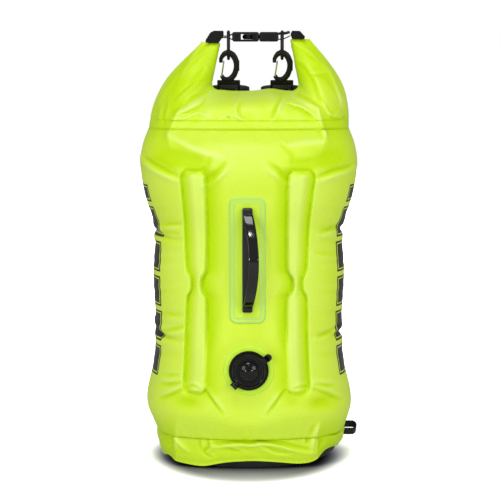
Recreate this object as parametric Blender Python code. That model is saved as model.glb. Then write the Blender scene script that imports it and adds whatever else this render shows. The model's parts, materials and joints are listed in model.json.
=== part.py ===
"""Open water swim buoy: an air chamber round a roll-top dry compartment, with shoulder straps.

Metres, +Z up, front towards -Y, origin at the middle of the flat underside of the base.
"""
import math

import bmesh
import bpy
from mathutils import Matrix, Vector

for old in list(bpy.data.objects):
    bpy.data.objects.remove(old, do_unlink=True)

# Driving sizes of the body
BODY_HALF_WIDTH = 0.1505
BODY_FRONT = 0.112
BODY_BACK = 0.102
LOW_WELD_HEIGHT = 0.049
SKIRT_FOOT_HEIGHT = 0.012
BORE_HALF_WIDTH = 0.097
BORE_FRONT = 0.060
BORE_BACK = 0.057
LINER_WALL = 0.0014
FABRIC_WALL = 0.0024

# Driving sizes of the closure
CLOSURE_OFFSET_X = 0.009
CLOSURE_HALF_SPAN = 0.079
CLOSURE_TIP_HALF_SPAN = 0.062
ROLL_TIP_HEIGHT = 0.578
EAR_RISE = 0.0795
NECK_RISE = 0.0365
EAR_MEET_DROP = 0.021
BUCKLE_RISE = 0.009
ROLL_MIDDLE_HEIGHT = ROLL_TIP_HEIGHT - EAR_RISE
HIGH_WELD_HEIGHT = ROLL_MIDDLE_HEIGHT - NECK_RISE
EAR_MEET_HEIGHT = ROLL_TIP_HEIGHT - EAR_MEET_DROP
BUCKLE_HEIGHT = ROLL_TIP_HEIGHT + BUCKLE_RISE
CHAMBER_HEIGHT = HIGH_WELD_HEIGHT - LOW_WELD_HEIGHT
ROLL_HALF_HEIGHT = 0.013
ROLL_HALF_THICKNESS = 0.0065
ROLL_BEND_RADIUS = 0.024
CLOSURE_WEBBING_WIDTH = 0.025
CLOSURE_WEBBING_THICKNESS = 0.0015

# Driving sizes of the front fittings, up the chamber as shares of its height
VALVE_HEIGHT_SHARE = 0.22034
HANDLE_HEIGHT_SHARE = 0.58111
HANDLE_PATCH_SHARE = 0.41404
VALVE_HEIGHT = LOW_WELD_HEIGHT + CHAMBER_HEIGHT * VALVE_HEIGHT_SHARE
HANDLE_HEIGHT = LOW_WELD_HEIGHT + CHAMBER_HEIGHT * HANDLE_HEIGHT_SHARE
VALVE_RADIUS = 0.027
VALVE_SEAT_DEPTH = 0.1045
VALVE_FLANGE_RADIUS = 0.034
HANDLE_PATCH_WIDTH = 0.049
HANDLE_PATCH_LENGTH = CHAMBER_HEIGHT * HANDLE_PATCH_SHARE
HANDLE_BASE_WIDTH = 0.014
HANDLE_END_MARGIN = 0.01425
HANDLE_BASE_LENGTH = HANDLE_PATCH_LENGTH - HANDLE_END_MARGIN * 2
HANDLE_BOW = 0.031

# Driving sizes of the shoulder straps
HOOK_SPACING = 0.074
PAD_WIDTH = 0.056
PAD_THICKNESS = 0.009
STRAP_WEBBING_WIDTH = 0.020
STRAP_WEBBING_THICKNESS = 0.0015

# Clearances
SEAT_GAP = 0.0003
SKIN_GAP = 0.0005
RUNNING_GAP = 0.0005
MOUTH_GAP = 0.0009
CUT_OVERRUN = 0.002

# Points of a mesh that are closer than this are one
MERGE_DISTANCE = 0.00001

# Heights up the chamber with shares of its half width, front and back depth
BODY_STATION_SHARES = (
    (0.000, 0.870, 0.830, 0.880),
    (0.085, 0.953, 0.980, 0.985),
    (0.206, 0.893, 0.930, 0.960),
    (0.317, 0.865, 0.885, 0.930),
    (0.518, 0.886, 0.868, 0.910),
    (0.668, 0.868, 0.893, 0.930),
    (0.777, 0.957, 0.965, 0.975),
    (0.884, 1.000, 1.000, 1.000),
    (0.947, 0.975, 0.930, 0.940),
    (1.000, 0.920, 0.735, 0.720),
)
SECTION_SQUARENESS = 2.5
CHAMBER_POINTS = 68
NECK_POINTS = 56
OVAL_SUBSTEPS = 12
SPLINE_STEPS = 16


def material(name, colour, roughness, metallic=0.0):
    """Make one Principled material."""
    made = bpy.data.materials.new(name)
    made.use_nodes = True
    shader = made.node_tree.nodes["Principled BSDF"]
    shader.inputs["Base Color"].default_value = (*colour, 1.0)
    shader.inputs["Roughness"].default_value = roughness
    shader.inputs["Metallic"].default_value = metallic
    return made


LIME = (0.60, 0.84, 0.03)
BLACK = (0.012, 0.012, 0.013)
GREY = (0.20, 0.21, 0.21)
STEEL = (0.62, 0.61, 0.56)


def finish(name, bm, colour, roughness, metallic=0.0, sharp_degrees=35.0, origin=None):
    """Turn a bmesh into the named object, with its origin on the given point."""
    bmesh.ops.remove_doubles(bm, verts=bm.verts, dist=MERGE_DISTANCE)
    bmesh.ops.recalc_face_normals(bm, faces=bm.faces)
    place = Vector(origin) if origin else Vector((0, 0, 0))
    bmesh.ops.translate(bm, verts=bm.verts, vec=-place)
    mesh = bpy.data.meshes.new(name)
    bm.to_mesh(mesh)
    bm.free()
    mesh.shade_smooth()
    mesh.set_sharp_from_angle(angle=math.radians(sharp_degrees))
    mesh.materials.append(material(name, colour, roughness, metallic))
    made = bpy.data.objects.new(name, mesh)
    made.location = place
    bpy.context.collection.objects.link(made)
    return made


def boolean(target, tool_bm, operation="DIFFERENCE"):
    """Cut or join a hidden tool shape with an object."""
    name = f"{target.name}_tool_{len(target.modifiers)}"
    bmesh.ops.recalc_face_normals(tool_bm, faces=tool_bm.faces)
    mesh = bpy.data.meshes.new(name)
    tool_bm.to_mesh(mesh)
    tool_bm.free()
    tool = bpy.data.objects.new(name, mesh)
    tool.display_type = "WIRE"
    tool.hide_render = True
    bpy.context.collection.objects.link(tool)
    modifier = target.modifiers.new(name, "BOOLEAN")
    modifier.operation = operation
    modifier.solver = "EXACT"
    modifier.object = tool


# Curves and sections

def smooth_row(rows, along):
    """Read a table of shares at any place along its first column, on a smooth curve."""
    along = min(max(along, rows[0][0]), rows[-1][0])
    index = 0
    while index < len(rows) - 2 and along > rows[index + 1][0]:
        index += 1
    before, start = rows[max(index - 1, 0)], rows[index]
    end, after = rows[index + 1], rows[min(index + 2, len(rows) - 1)]
    span = end[0] - start[0]
    t = (along - start[0]) / span
    values = []
    for column in range(1, len(start)):
        slope_in = (end[column] - before[column]) / (end[0] - before[0]) * span
        slope_out = (after[column] - start[column]) / (after[0] - start[0]) * span
        a = start[column]
        b = end[column]
        values.append(
            (2 * t**3 - 3 * t**2 + 1) * a + (t**3 - 2 * t**2 + t) * slope_in
            + (3 * t**2 - 2 * t**3) * b + (t**3 - t**2) * slope_out
        )
    return values


def smooth_step(value, start, end):
    """Rise from 0 at start to 1 at end with level ends."""
    t = min(max((value - start) / (end - start), 0.0), 1.0)
    return t * t * (3 - 2 * t)


def oval(half_width, front, back, height, count, squareness=SECTION_SQUARENESS):
    """Points of a soft-cornered oval at one height, evenly spaced round it."""
    power = 2 / squareness
    dense_steps = count * OVAL_SUBSTEPS
    dense = []
    for step in range(dense_steps + 1):
        angle = 2 * math.pi * step / dense_steps
        c, s = math.cos(angle), math.sin(angle)
        depth = back if s > 0 else front
        x = half_width * math.copysign(abs(c) ** power, c)
        y = depth * math.copysign(abs(s) ** power, s)
        dense.append(Vector((x, y, height)))
    return spaced(dense, count + 1)[:-1]


def spaced(points, count):
    """Points at equal distances along a line of points."""
    lengths = [0.0]
    for start, end in zip(points, points[1:]):
        lengths.append(lengths[-1] + (end - start).length)
    result = []
    index = 0
    for step in range(count):
        wanted = lengths[-1] * step / (count - 1)
        while index < len(points) - 2 and lengths[index + 1] < wanted:
            index += 1
        part = lengths[index + 1] - lengths[index]
        t = (wanted - lengths[index]) / part if part else 0.0
        result.append(points[index].lerp(points[index + 1], min(max(t, 0.0), 1.0)))
    return result


def smooth_path(points, count):
    """Evenly spaced points on a smooth curve through the given ones."""
    points = [Vector(point) for point in points]
    dense = []
    for index in range(len(points) - 1):
        before = points[max(index - 1, 0)]
        start, end = points[index], points[index + 1]
        after = points[min(index + 2, len(points) - 1)]
        for step in range(SPLINE_STEPS):
            t = step / SPLINE_STEPS
            dense.append(
                ((-t**3 + 2 * t**2 - t) * before + (3 * t**3 - 5 * t**2 + 2) * start
                 + (-3 * t**3 + 4 * t**2 + t) * end + (t**3 - t**2) * after) / 2
            )
    dense.append(points[-1])
    return spaced(dense, count)


def filleted_path(points, radius, arc_steps):
    """A line of straight runs with round corners."""
    points = [Vector(point) for point in points]
    result = [points[0]]
    for before, corner, after in zip(points, points[1:], points[2:]):
        into = (before - corner).normalized()
        out = (after - corner).normalized()
        half = into.angle(out) / 2
        reach = radius / math.tan(half)
        centre = corner + (into + out).normalized() * (radius / math.sin(half))
        start = corner + into * reach - centre
        end = corner + out * reach - centre
        sweep = start.angle(end)
        for step in range(arc_steps + 1):
            t = step / arc_steps
            blend = (start * math.sin((1 - t) * sweep) + end * math.sin(t * sweep)) / math.sin(sweep)
            result.append(centre + blend)
    result.append(points[-1])
    return result


# Mesh building

def start_ring(bm, points):
    """Lay one closed ring of points."""
    verts = [bm.verts.new(point) for point in points]
    edges = [bm.edges.new((verts[index - 1], verts[index])) for index in range(len(verts))]
    return verts, edges


def next_ring(bm, verts, edges, points):
    """Extrude a ring and move its new points into place."""
    grown = bmesh.ops.extrude_edge_only(bm, edges=edges)["geom"]
    new_verts = {item for item in grown if isinstance(item, bmesh.types.BMVert)}
    ordered = []
    for vert in verts:
        twin = next(edge.other_vert(vert) for edge in vert.link_edges if edge.other_vert(vert) in new_verts)
        ordered.append(twin)
    for vert, point in zip(ordered, points):
        vert.co = point
    new_edges = [item for item in grown if isinstance(item, bmesh.types.BMEdge)
                 and item.verts[0] in new_verts and item.verts[1] in new_verts]
    return ordered, new_edges


def loft(rings, ends="cap"):
    """Skin closed rings in order; the ends are capped, or joined to each other."""
    bm = bmesh.new()
    first_verts, first_edges = start_ring(bm, rings[0])
    verts, edges = first_verts, first_edges
    for ring in rings[1:]:
        verts, edges = next_ring(bm, verts, edges, ring)
    if ends == "cap":
        bm.faces.new(first_verts)
        bm.faces.new(verts)
    if ends == "join":
        bmesh.ops.bridge_loops(bm, edges=first_edges + edges)
    return bm


def tube_path(points, section, axes):
    """Sweep a closed section along a path; section x lies on the width axis, y across it."""
    rings = []
    for index, point in enumerate(points):
        axis = axes[index] if isinstance(axes, list) else Vector(axes)
        ahead = points[min(index + 1, len(points) - 1)]
        behind = points[max(index - 1, 0)]
        tangent = (ahead - behind).normalized()
        across = tangent.cross(axis).normalized()
        side = across.cross(tangent).normalized()
        rings.append([point + side * u + across * v for u, v in section])
    return loft(rings)


def rectangle(width, thickness):
    """Corners of a centred rectangle."""
    u, v = width / 2, thickness / 2
    return [(-u, -v), (u, -v), (u, v), (-u, v)]


def rounded_rectangle(width, height, radius, steps):
    """Outline of a centred rectangle with round corners."""
    result = []
    for corner in range(4):
        start = math.pi / 2 * corner
        sign_u = 1 if corner in (0, 3) else -1
        sign_v = 1 if corner in (0, 1) else -1
        for step in range(steps + 1):
            angle = start + math.pi / 2 * step / steps
            u = sign_u * (width / 2 - radius) + radius * math.cos(angle)
            v = sign_v * (height / 2 - radius) + radius * math.sin(angle)
            result.append((u, v))
    return result


def block(low, high, radius=0.0, segments=2):
    """A box between two corners, with its edges rounded."""
    bm = bmesh.new()
    low, high = Vector(low), Vector(high)
    size = high - low
    place = Matrix.Translation((low + high) / 2) @ Matrix.Diagonal((*size, 1))
    bmesh.ops.create_cube(bm, size=1, matrix=place)
    if radius:
        bmesh.ops.bevel(
            bm, geom=bm.edges[:], offset=radius, segments=segments, profile=0.5, affect="EDGES", material=-1,
        )
    return bm


def turned(profile, centre, steps, closed):
    """Turn a profile of (radius, reach) about the valve's axis; reach is towards the front."""
    bm = bmesh.new()
    centre = Vector(centre)
    verts = [bm.verts.new(centre + Vector((radius, -reach, 0))) for radius, reach in profile]
    edges = [bm.edges.new(pair) for pair in zip(verts, verts[1:])]
    if closed:
        edges.append(bm.edges.new((verts[-1], verts[0])))
    bmesh.ops.spin(
        bm, geom=verts + edges, cent=centre, axis=(0, 1, 0), angle=2 * math.pi, steps=steps, use_merge=True,
    )
    return bm


def cylinder(start, end, radius, count):
    """A round bar between two points."""
    start, end = Vector(start), Vector(end)
    along = end - start
    turn = Vector((0, 0, 1)).rotation_difference(along).to_matrix().to_4x4()
    bm = bmesh.new()
    bmesh.ops.create_cone(
        bm, cap_ends=True, segments=count, radius1=radius, radius2=radius, depth=along.length,
        matrix=Matrix.Translation((start + end) / 2) @ turn,
    )
    return bm


# The body's outer surface

# Heights as shares of the chamber's height, widths as shares of its half width
TUBE_FOOT_SHARE = 0.165
TUBE_TOP_SHARE = 0.845
INNER_SEAM_SHARE = 0.370
OUTER_SEAM_SHARE = 0.580
PINCH_HEIGHT_SHARE = 0.530
PINCH_SHARE = 0.085
PINCH_SPREAD_SHARE = 0.14
TUBE_END_OUT_SHARE = 0.03
TUBE_END_IN_SHARE = 0.02
FLANK_FADE_SHARE = 0.2
SEAM_DEPTH = 0.008
SEAM_HALF_WIDTH = 0.0065
TUBE_CROWN = 0.004
VALVE_FLAT_RADIUS = 0.045
VALVE_BLEND_RADIUS = 0.080


def body_sizes(height):
    """Half width, front and back depth of the body at a height."""
    along = (height - LOW_WELD_HEIGHT) / CHAMBER_HEIGHT
    width, front, back = smooth_row(BODY_STATION_SHARES, along)
    return BODY_HALF_WIDTH * width, BODY_FRONT * front, BODY_BACK * back


def seam_relief(x, height):
    """How far the welded channels draw the front in, and the narrow tubes swell out."""
    along = (height - LOW_WELD_HEIGHT) / CHAMBER_HEIGHT
    fade = smooth_step(along, TUBE_FOOT_SHARE - TUBE_END_OUT_SHARE, TUBE_FOOT_SHARE + TUBE_END_IN_SHARE)
    fade *= 1 - smooth_step(along, TUBE_TOP_SHARE - TUBE_END_IN_SHARE, TUBE_TOP_SHARE + TUBE_END_OUT_SHARE)
    pinch = math.exp(-(((along - PINCH_HEIGHT_SHARE) / PINCH_SPREAD_SHARE) ** 2)) * PINCH_SHARE
    inner = BODY_HALF_WIDTH * INNER_SEAM_SHARE
    outer = BODY_HALF_WIDTH * (OUTER_SEAM_SHARE - pinch)
    depth = 0.0
    for seam in (inner, outer):
        depth += SEAM_DEPTH * math.exp(-(((abs(x) - seam) / SEAM_HALF_WIDTH) ** 2))
    crown = math.exp(-(((abs(x) - (inner + outer) / 2) / (outer - inner) * 3) ** 2))
    return (depth - TUBE_CROWN * crown) * fade


def front_y(x, height):
    """Y of the chamber's front skin."""
    half_width, front, back = body_sizes(height)
    share = min(abs(x) / half_width, 1.0)
    y = -front * (1 - share**SECTION_SQUARENESS) ** (1 / SECTION_SQUARENESS)
    y += seam_relief(x, height) * smooth_step(1 - share, 0.0, FLANK_FADE_SHARE)
    reach = math.hypot(x, height - VALVE_HEIGHT)
    flat = 1 - smooth_step(reach, VALVE_FLAT_RADIUS, VALVE_BLEND_RADIUS)
    return y * (1 - flat) - VALVE_SEAT_DEPTH * flat


CHAMBER_LEVELS = 21
CHAMBER_EASE_SHARE = 0.03


def chamber_height(level):
    """Height of one of the chamber's rings, closer together at the two welds."""
    t = level / CHAMBER_LEVELS
    eased = t - CHAMBER_EASE_SHARE * math.sin(2 * math.pi * t)
    return LOW_WELD_HEIGHT + CHAMBER_HEIGHT * eased


CHAMBER_HEIGHTS = [chamber_height(level) for level in range(CHAMBER_LEVELS + 1)]


def skin_y(x, height):
    """Y of the front skin as its rings span it, for what is welded on."""
    for low, high in zip(CHAMBER_HEIGHTS, CHAMBER_HEIGHTS[1:]):
        if height <= high:
            t = (height - low) / (high - low)
            return front_y(x, low) * (1 - t) + front_y(x, high) * t
    return front_y(x, height)


def body_ring(height):
    """The outer ring of the chamber at a height."""
    half_width, front, back = body_sizes(height)
    ring = oval(half_width, front, back, height, CHAMBER_POINTS)
    for point in ring:
        if point.y < 0 and abs(point.x) < half_width * 0.97:
            point.y = front_y(point.x, height)
    return ring


def bore_ring(height, inset, count):
    """The upright bore of the dry compartment, drawn in by an inset."""
    return oval(BORE_HALF_WIDTH - inset, BORE_FRONT - inset, BORE_BACK - inset, height, count)


# Air chamber: welded coated fabric, inflated round the dry compartment

VALVE_RECESS_RADIUS = 0.0224
VALVE_RECESS_DEPTH = 0.0170


def make_air_chamber():
    """Sleeve with the true outer form and an upright bore."""
    rings = [body_ring(height) for height in CHAMBER_HEIGHTS]
    rings.append(bore_ring(HIGH_WELD_HEIGHT, 0.0, CHAMBER_POINTS))
    rings.append(bore_ring(LOW_WELD_HEIGHT, 0.0, CHAMBER_POINTS))
    chamber = finish("air_chamber", loft(rings, "join"), LIME, 0.45)
    start = (0, -VALVE_SEAT_DEPTH - CUT_OVERRUN, VALVE_HEIGHT)
    end = (0, -VALVE_SEAT_DEPTH + VALVE_RECESS_DEPTH, VALVE_HEIGHT)
    boolean(chamber, cylinder(start, end, VALVE_RECESS_RADIUS, 40))


def make_liner():
    """Open-topped cup that keeps the dry load."""
    foot = SKIRT_FOOT_HEIGHT + SEAT_GAP
    top = HIGH_WELD_HEIGHT
    outer, inner = SEAT_GAP, SEAT_GAP + LINER_WALL
    count = 44
    rings = [
        bore_ring(foot, outer, count),
        bore_ring(top, outer, count),
        bore_ring(top, inner, count),
        bore_ring(foot + LINER_WALL, inner, count),
    ]
    finish("dry_bag_liner", loft(rings), GREY, 0.6)


# Lower skirt and base

# Height share from the skirt's foot to the lower weld, then shares of the weld's outline
SKIRT_SHARES = ((0.0, 0.900), (0.25, 0.955), (0.6, 0.985), (1.0, 0.990))
# Height share of the base's thickness, then shares of the skirt's foot outline
BASE_SHARES = ((0.0, 0.80), (0.15, 0.88), (0.5, 0.955), (0.85, 0.99), (1.0, 0.985))


def weld_outline(share, height, count):
    """The lower weld's oval, drawn in to a share of its size."""
    half_width, front, back = body_sizes(LOW_WELD_HEIGHT)
    return oval(half_width * share, front * share, back * share, height, count)


def make_skirt_and_base():
    """Lime collar under the lower weld and the black pillow that stands on the ground."""
    count = 48
    foot = SKIRT_FOOT_HEIGHT + SEAT_GAP
    rise = LOW_WELD_HEIGHT - SEAT_GAP - foot
    rings = [weld_outline(share, foot + rise * up, count) for up, share in SKIRT_SHARES]
    rings.append(bore_ring(foot + rise, 0.0, count))
    rings.append(bore_ring(foot, 0.0, count))
    finish("lower_skirt", loft(rings, "join"), LIME, 0.45)
    foot_share = SKIRT_SHARES[0][1]
    rings = [weld_outline(share * foot_share, SKIRT_FOOT_HEIGHT * up, count) for up, share in BASE_SHARES]
    finish("base_panel", loft(rings), BLACK, 0.6)


# Neck and roll-top closure

def closure_lean():
    """How far the turned-up ends lean inward for each unit that they rise."""
    return (CLOSURE_HALF_SPAN - CLOSURE_TIP_HALF_SPAN) / (ROLL_TIP_HEIGHT - ROLL_MIDDLE_HEIGHT)


def closure_path(outward, top_height, arc_steps=6):
    """The U that the rolled mouth follows, moved outward from its middle line."""
    lean = closure_lean()
    low = ROLL_MIDDLE_HEIGHT - outward
    edge = outward * math.hypot(1, lean)
    foot = CLOSURE_HALF_SPAN + edge + lean * outward
    top = CLOSURE_HALF_SPAN + edge - lean * (top_height - ROLL_MIDDLE_HEIGHT)
    corners = [
        (CLOSURE_OFFSET_X - top, 0, top_height),
        (CLOSURE_OFFSET_X - foot, 0, low),
        (CLOSURE_OFFSET_X + foot, 0, low),
        (CLOSURE_OFFSET_X + top, 0, top_height),
    ]
    return filleted_path(corners, ROLL_BEND_RADIUS + outward, arc_steps)


NECK_LEVEL_SHARES = (0.0, 0.12, 0.28, 0.46, 0.64, 0.82, 1.0)
SHOULDER_SWELL = 0.018
NECK_FRONT_SWELL = 0.010
# Wall thicknesses above the neck's foot, then shares of its outline
NECK_RECESS_SHARES = ((0, 0.965), (2, 0.80), (4, 0.55))
NECK_RECESS_POINTS = 32


def make_neck():
    """Fabric throat from the upper weld's oval to the flat rolled mouth."""
    foot = HIGH_WELD_HEIGHT + SEAT_GAP
    half_width, front, back = body_sizes(HIGH_WELD_HEIGHT)
    base = oval(half_width, front, back, foot, NECK_POINTS)
    half_count = NECK_POINTS // 2
    mouth_line = spaced(closure_path(ROLL_HALF_HEIGHT + MOUTH_GAP, EAR_MEET_HEIGHT), half_count + 1)
    mouth_line.reverse()
    mouth = mouth_line + mouth_line[-2:0:-1]
    rings = []
    for share in NECK_LEVEL_SHARES:
        ring = []
        swell = math.sin(math.pi * share)
        for low, high in zip(base, mouth):
            point = low.lerp(high, share)
            side = low.x / half_width
            point.x += SHOULDER_SWELL * swell * side**3
            point.z += NECK_FRONT_SWELL * swell * (1 - side**2)
            ring.append(point)
        rings.append(ring)
    neck = finish("neck", loft(rings), LIME, 0.45)
    inner = []
    for walls, share in NECK_RECESS_SHARES:
        height = foot + FABRIC_WALL * walls
        inner.append(oval(half_width * share, front * share, back * share, height, NECK_RECESS_POINTS))
    below = [point - Vector((0, 0, CUT_OVERRUN)) for point in inner[0]]
    boolean(neck, loft([below] + inner))


STRIP_WIDTH = 0.014
STRIP_THICKNESS = 0.0016
STRIP_TAIL = 0.007


def make_roll_top():
    """Rolled mouth with both ends turned up, hollow along its length for the strip."""
    line = closure_path(0.0, ROLL_TIP_HEIGHT)
    outer = rounded_rectangle(ROLL_HALF_THICKNESS * 2, ROLL_HALF_HEIGHT * 2, ROLL_HALF_THICKNESS * 0.9, 2)
    slot_width = STRIP_THICKNESS + SEAT_GAP * 2
    slot_height = STRIP_WIDTH + SEAT_GAP * 2
    slot = rounded_rectangle(slot_width, slot_height, slot_width * 0.25, 2)
    rings = sections_along(line, outer) + sections_along(line, slot)[::-1]
    finish("roll_top", loft(rings, "join"), LIME, 0.45)
    tail = closure_path(0.0, ROLL_TIP_HEIGHT + STRIP_TAIL)
    strip = rounded_rectangle(STRIP_THICKNESS, STRIP_WIDTH, STRIP_THICKNESS * 0.25, 1)
    finish("stiffener_strip", loft(sections_along(tail, strip)), BLACK, 0.5)


def sections_along(line, section):
    """Rings of a section along a flat path, with level ends; section x is depth."""
    rings = []
    for index, point in enumerate(line):
        ahead = line[min(index + 1, len(line) - 1)]
        behind = line[max(index - 1, 0)]
        tangent = (ahead - behind).normalized()
        across = tangent.cross(Vector((0, 1, 0)))
        ring = [point + Vector((0, u, 0)) + across * v for u, v in section]
        if index in (0, len(line) - 1):
            ring = [corner + tangent * ((point.z - corner.z) / tangent.z) for corner in ring]
        rings.append(ring)
    return rings


TAB_LENGTH = 0.024
TAB_DEPTH = 0.027
TAB_HEIGHT = 0.016
TAB_SHIFT = 0.002
WEBBING_LAYER_GAP = 0.0008


def tip_x(side):
    """X of the middle line at a turned-up end."""
    return CLOSURE_OFFSET_X + side * CLOSURE_TIP_HALF_SPAN


def make_end_tabs():
    """Webbing caps sewn over the strip's two ends."""
    for side, word in ((-1, "left"), (1, "right")):
        middle = tip_x(side) - side * TAB_SHIFT
        low = ROLL_TIP_HEIGHT + SEAT_GAP
        corner = (middle - TAB_LENGTH / 2, -TAB_DEPTH / 2, low)
        far = (middle + TAB_LENGTH / 2, TAB_DEPTH / 2, low + TAB_HEIGHT)
        tab = finish(f"end_tab_{word}", block(corner, far, TAB_HEIGHT * 0.2), BLACK, 0.7)
        half = STRIP_WIDTH / 2 + STRIP_TAIL * closure_lean() + RUNNING_GAP * 2
        slot_low = (tip_x(side) - half, -STRIP_THICKNESS / 2 - RUNNING_GAP, low - CUT_OVERRUN)
        slot_high = (tip_x(side) + half, STRIP_THICKNESS / 2 + RUNNING_GAP, low + STRIP_TAIL + RUNNING_GAP)
        boolean(tab, block(slot_low, slot_high))


# Side-release buckle, lying flat with its width front to back

BUCKLE_LENGTH = 0.0637
BUCKLE_WIDTH = 0.036
BUCKLE_THICKNESS = 0.013
FEMALE_LENGTH = 0.037
SHELL_WALL = 0.0022
BAR_THICKNESS = 0.0026
BAR_HEIGHT = 0.0044
SLOT_LENGTH = 0.0050
ARM_HEIGHT = 0.0068
ARM_SWING = 0.0215
WINDOW_LENGTH = 0.0155


def buckle_x(share):
    """X along the buckle, 0 at the female bar and 1 at the male bar."""
    return CLOSURE_OFFSET_X + BUCKLE_LENGTH * (share - 0.5)


def make_buckle_female():
    """Shell with a mouth, two side windows and a webbing bar."""
    start = buckle_x(0)
    end = start + FEMALE_LENGTH
    half_width, half_height = BUCKLE_WIDTH / 2, BUCKLE_THICKNESS / 2
    low = (start, -half_width, BUCKLE_HEIGHT - half_height)
    high = (end, half_width, BUCKLE_HEIGHT + half_height)
    shell = finish("buckle_female", block(low, high, BUCKLE_THICKNESS * 0.22, 3), BLACK, 0.35)
    cavity_start = start + BAR_THICKNESS + SLOT_LENGTH + SHELL_WALL
    inner_width, inner_height = half_width - SHELL_WALL, half_height - SHELL_WALL
    boolean(shell, block(
        (cavity_start, -inner_width, BUCKLE_HEIGHT - inner_height),
        (end + CUT_OVERRUN, inner_width, BUCKLE_HEIGHT + inner_height),
    ))
    window_start = cavity_start + SHELL_WALL
    window_half = ARM_HEIGHT / 2 + RUNNING_GAP
    boolean(shell, block(
        (window_start, -half_width - CUT_OVERRUN, BUCKLE_HEIGHT - window_half),
        (window_start + WINDOW_LENGTH, half_width + CUT_OVERRUN, BUCKLE_HEIGHT + window_half),
    ))
    slot_half = CLOSURE_WEBBING_WIDTH / 2 + RUNNING_GAP
    boolean(shell, block(
        (start + BAR_THICKNESS, -slot_half, BUCKLE_HEIGHT - BUCKLE_THICKNESS),
        (start + BAR_THICKNESS + SLOT_LENGTH, slot_half, BUCKLE_HEIGHT + BUCKLE_THICKNESS),
    ))
    for sign in (-1, 1):
        near = BUCKLE_HEIGHT + sign * BAR_HEIGHT / 2
        far = BUCKLE_HEIGHT + sign * BUCKLE_THICKNESS
        boolean(shell, block(
            (start - CUT_OVERRUN, -slot_half, min(near, far)),
            (start + BAR_THICKNESS + CUT_OVERRUN / 2, slot_half, max(near, far)),
        ))


def make_buckle_male():
    """Ladder base with a guide tongue, and two sprung arms that the side windows hold."""
    base_start = buckle_x(0) + FEMALE_LENGTH + SEAT_GAP
    end = buckle_x(1)
    half_width, half_height = BUCKLE_WIDTH / 2 - SHELL_WALL / 4, BUCKLE_THICKNESS / 2
    base = block(
        (base_start, -half_width, BUCKLE_HEIGHT - half_height),
        (end, half_width, BUCKLE_HEIGHT + half_height), BUCKLE_THICKNESS * 0.2, 3,
    )
    male = finish("buckle_male", base, BLACK, 0.35)
    tongue_start = buckle_x(0) + BAR_THICKNESS + SLOT_LENGTH + SHELL_WALL * 3
    tongue_half = SHELL_WALL
    boolean(male, block(
        (tongue_start, -tongue_half, BUCKLE_HEIGHT - tongue_half),
        (base_start + SHELL_WALL * 1.5, tongue_half, BUCKLE_HEIGHT + tongue_half), tongue_half * 0.3,
    ), "UNION")
    slot_half = CLOSURE_WEBBING_WIDTH / 2 + RUNNING_GAP
    mid_bar_end = end - BAR_THICKNESS - SLOT_LENGTH
    for slot_end in (end - BAR_THICKNESS, mid_bar_end - BAR_THICKNESS):
        boolean(male, block(
            (slot_end - SLOT_LENGTH, -slot_half, BUCKLE_HEIGHT - BUCKLE_THICKNESS),
            (slot_end, slot_half, BUCKLE_HEIGHT + BUCKLE_THICKNESS),
        ))
    for sign in (-1, 1):
        near = BUCKLE_HEIGHT + sign * BAR_HEIGHT / 2
        far = BUCKLE_HEIGHT + sign * BUCKLE_THICKNESS
        boolean(male, block(
            (mid_bar_end - BAR_THICKNESS - SLOT_LENGTH / 2, -slot_half, min(near, far)),
            (end + CUT_OVERRUN, slot_half, max(near, far)),
        ))
    make_buckle_arms(base_start)


# Arm outline: shares of its length from the root, and of the half width
ARM_OUTER_SHARES = ((0.0, 0.70), (0.25, 0.78), (0.45, 0.80), (0.56, 0.96), (0.80, 0.955), (1.0, 0.60))
ARM_INNER_SHARES = ((1.0, 0.46), (0.80, 0.44), (0.50, 0.52), (0.25, 0.52), (0.0, 0.46))


def make_buckle_arms(root_x):
    """One flexing arm on each side, each pivoting at its root."""
    root = root_x - SEAT_GAP
    half_width = BUCKLE_WIDTH / 2
    for side, word in ((-1, "front"), (1, "back")):
        outline = [(root - ARM_SWING * along, side * half_width * out) for along, out in ARM_OUTER_SHARES]
        outline += [(root - ARM_SWING * along, side * half_width * out) for along, out in ARM_INNER_SHARES]
        rings = []
        for sign in (-1, 1):
            height = BUCKLE_HEIGHT + sign * ARM_HEIGHT / 2
            rings.append([Vector((x, y, height)) for x, y in outline])
        pivot = (root, side * half_width * 0.58, BUCKLE_HEIGHT)
        finish(f"buckle_arm_{word}", loft(rings), BLACK, 0.35, origin=pivot)


def closure_webbing(name, points):
    """Sweep the closure's webbing along a path in the XZ plane."""
    section = rectangle(CLOSURE_WEBBING_WIDTH, CLOSURE_WEBBING_THICKNESS)
    path = [Vector((x, 0, z)) for x, z in points]
    finish(name, tube_path(path, section, (0, 1, 0)), BLACK, 0.8, sharp_degrees=60)


def make_closure_webbing():
    """Loops of webbing from each end tab round the buckle's bars."""
    layer = (CLOSURE_WEBBING_THICKNESS + WEBBING_LAYER_GAP) / 2
    wrap = BAR_HEIGHT / 2 + CLOSURE_WEBBING_THICKNESS / 2 + SEAT_GAP
    reach = BAR_THICKNESS / 2 + CLOSURE_WEBBING_THICKNESS / 2 + RUNNING_GAP
    tab_face = tip_x(-1) + TAB_SHIFT + TAB_LENGTH / 2 + SEAT_GAP
    bar = buckle_x(0) + BAR_THICKNESS / 2
    closure_webbing("closure_webbing_left", wrapped(tab_face, bar, layer, wrap, reach))
    tab_face = tip_x(1) - TAB_SHIFT - TAB_LENGTH / 2 - SEAT_GAP
    end = buckle_x(1)
    bar = end - BAR_THICKNESS * 1.5 - SLOT_LENGTH
    over_end = [(tab_face, BUCKLE_HEIGHT + wrap * 0.9), (end, BUCKLE_HEIGHT + wrap)]
    under_end = [(end, BUCKLE_HEIGHT - wrap), (tab_face, BUCKLE_HEIGHT - wrap * 0.9)]
    closure_webbing("closure_webbing_right", over_end + bar_turn(bar, wrap, -reach) + under_end)


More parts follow.
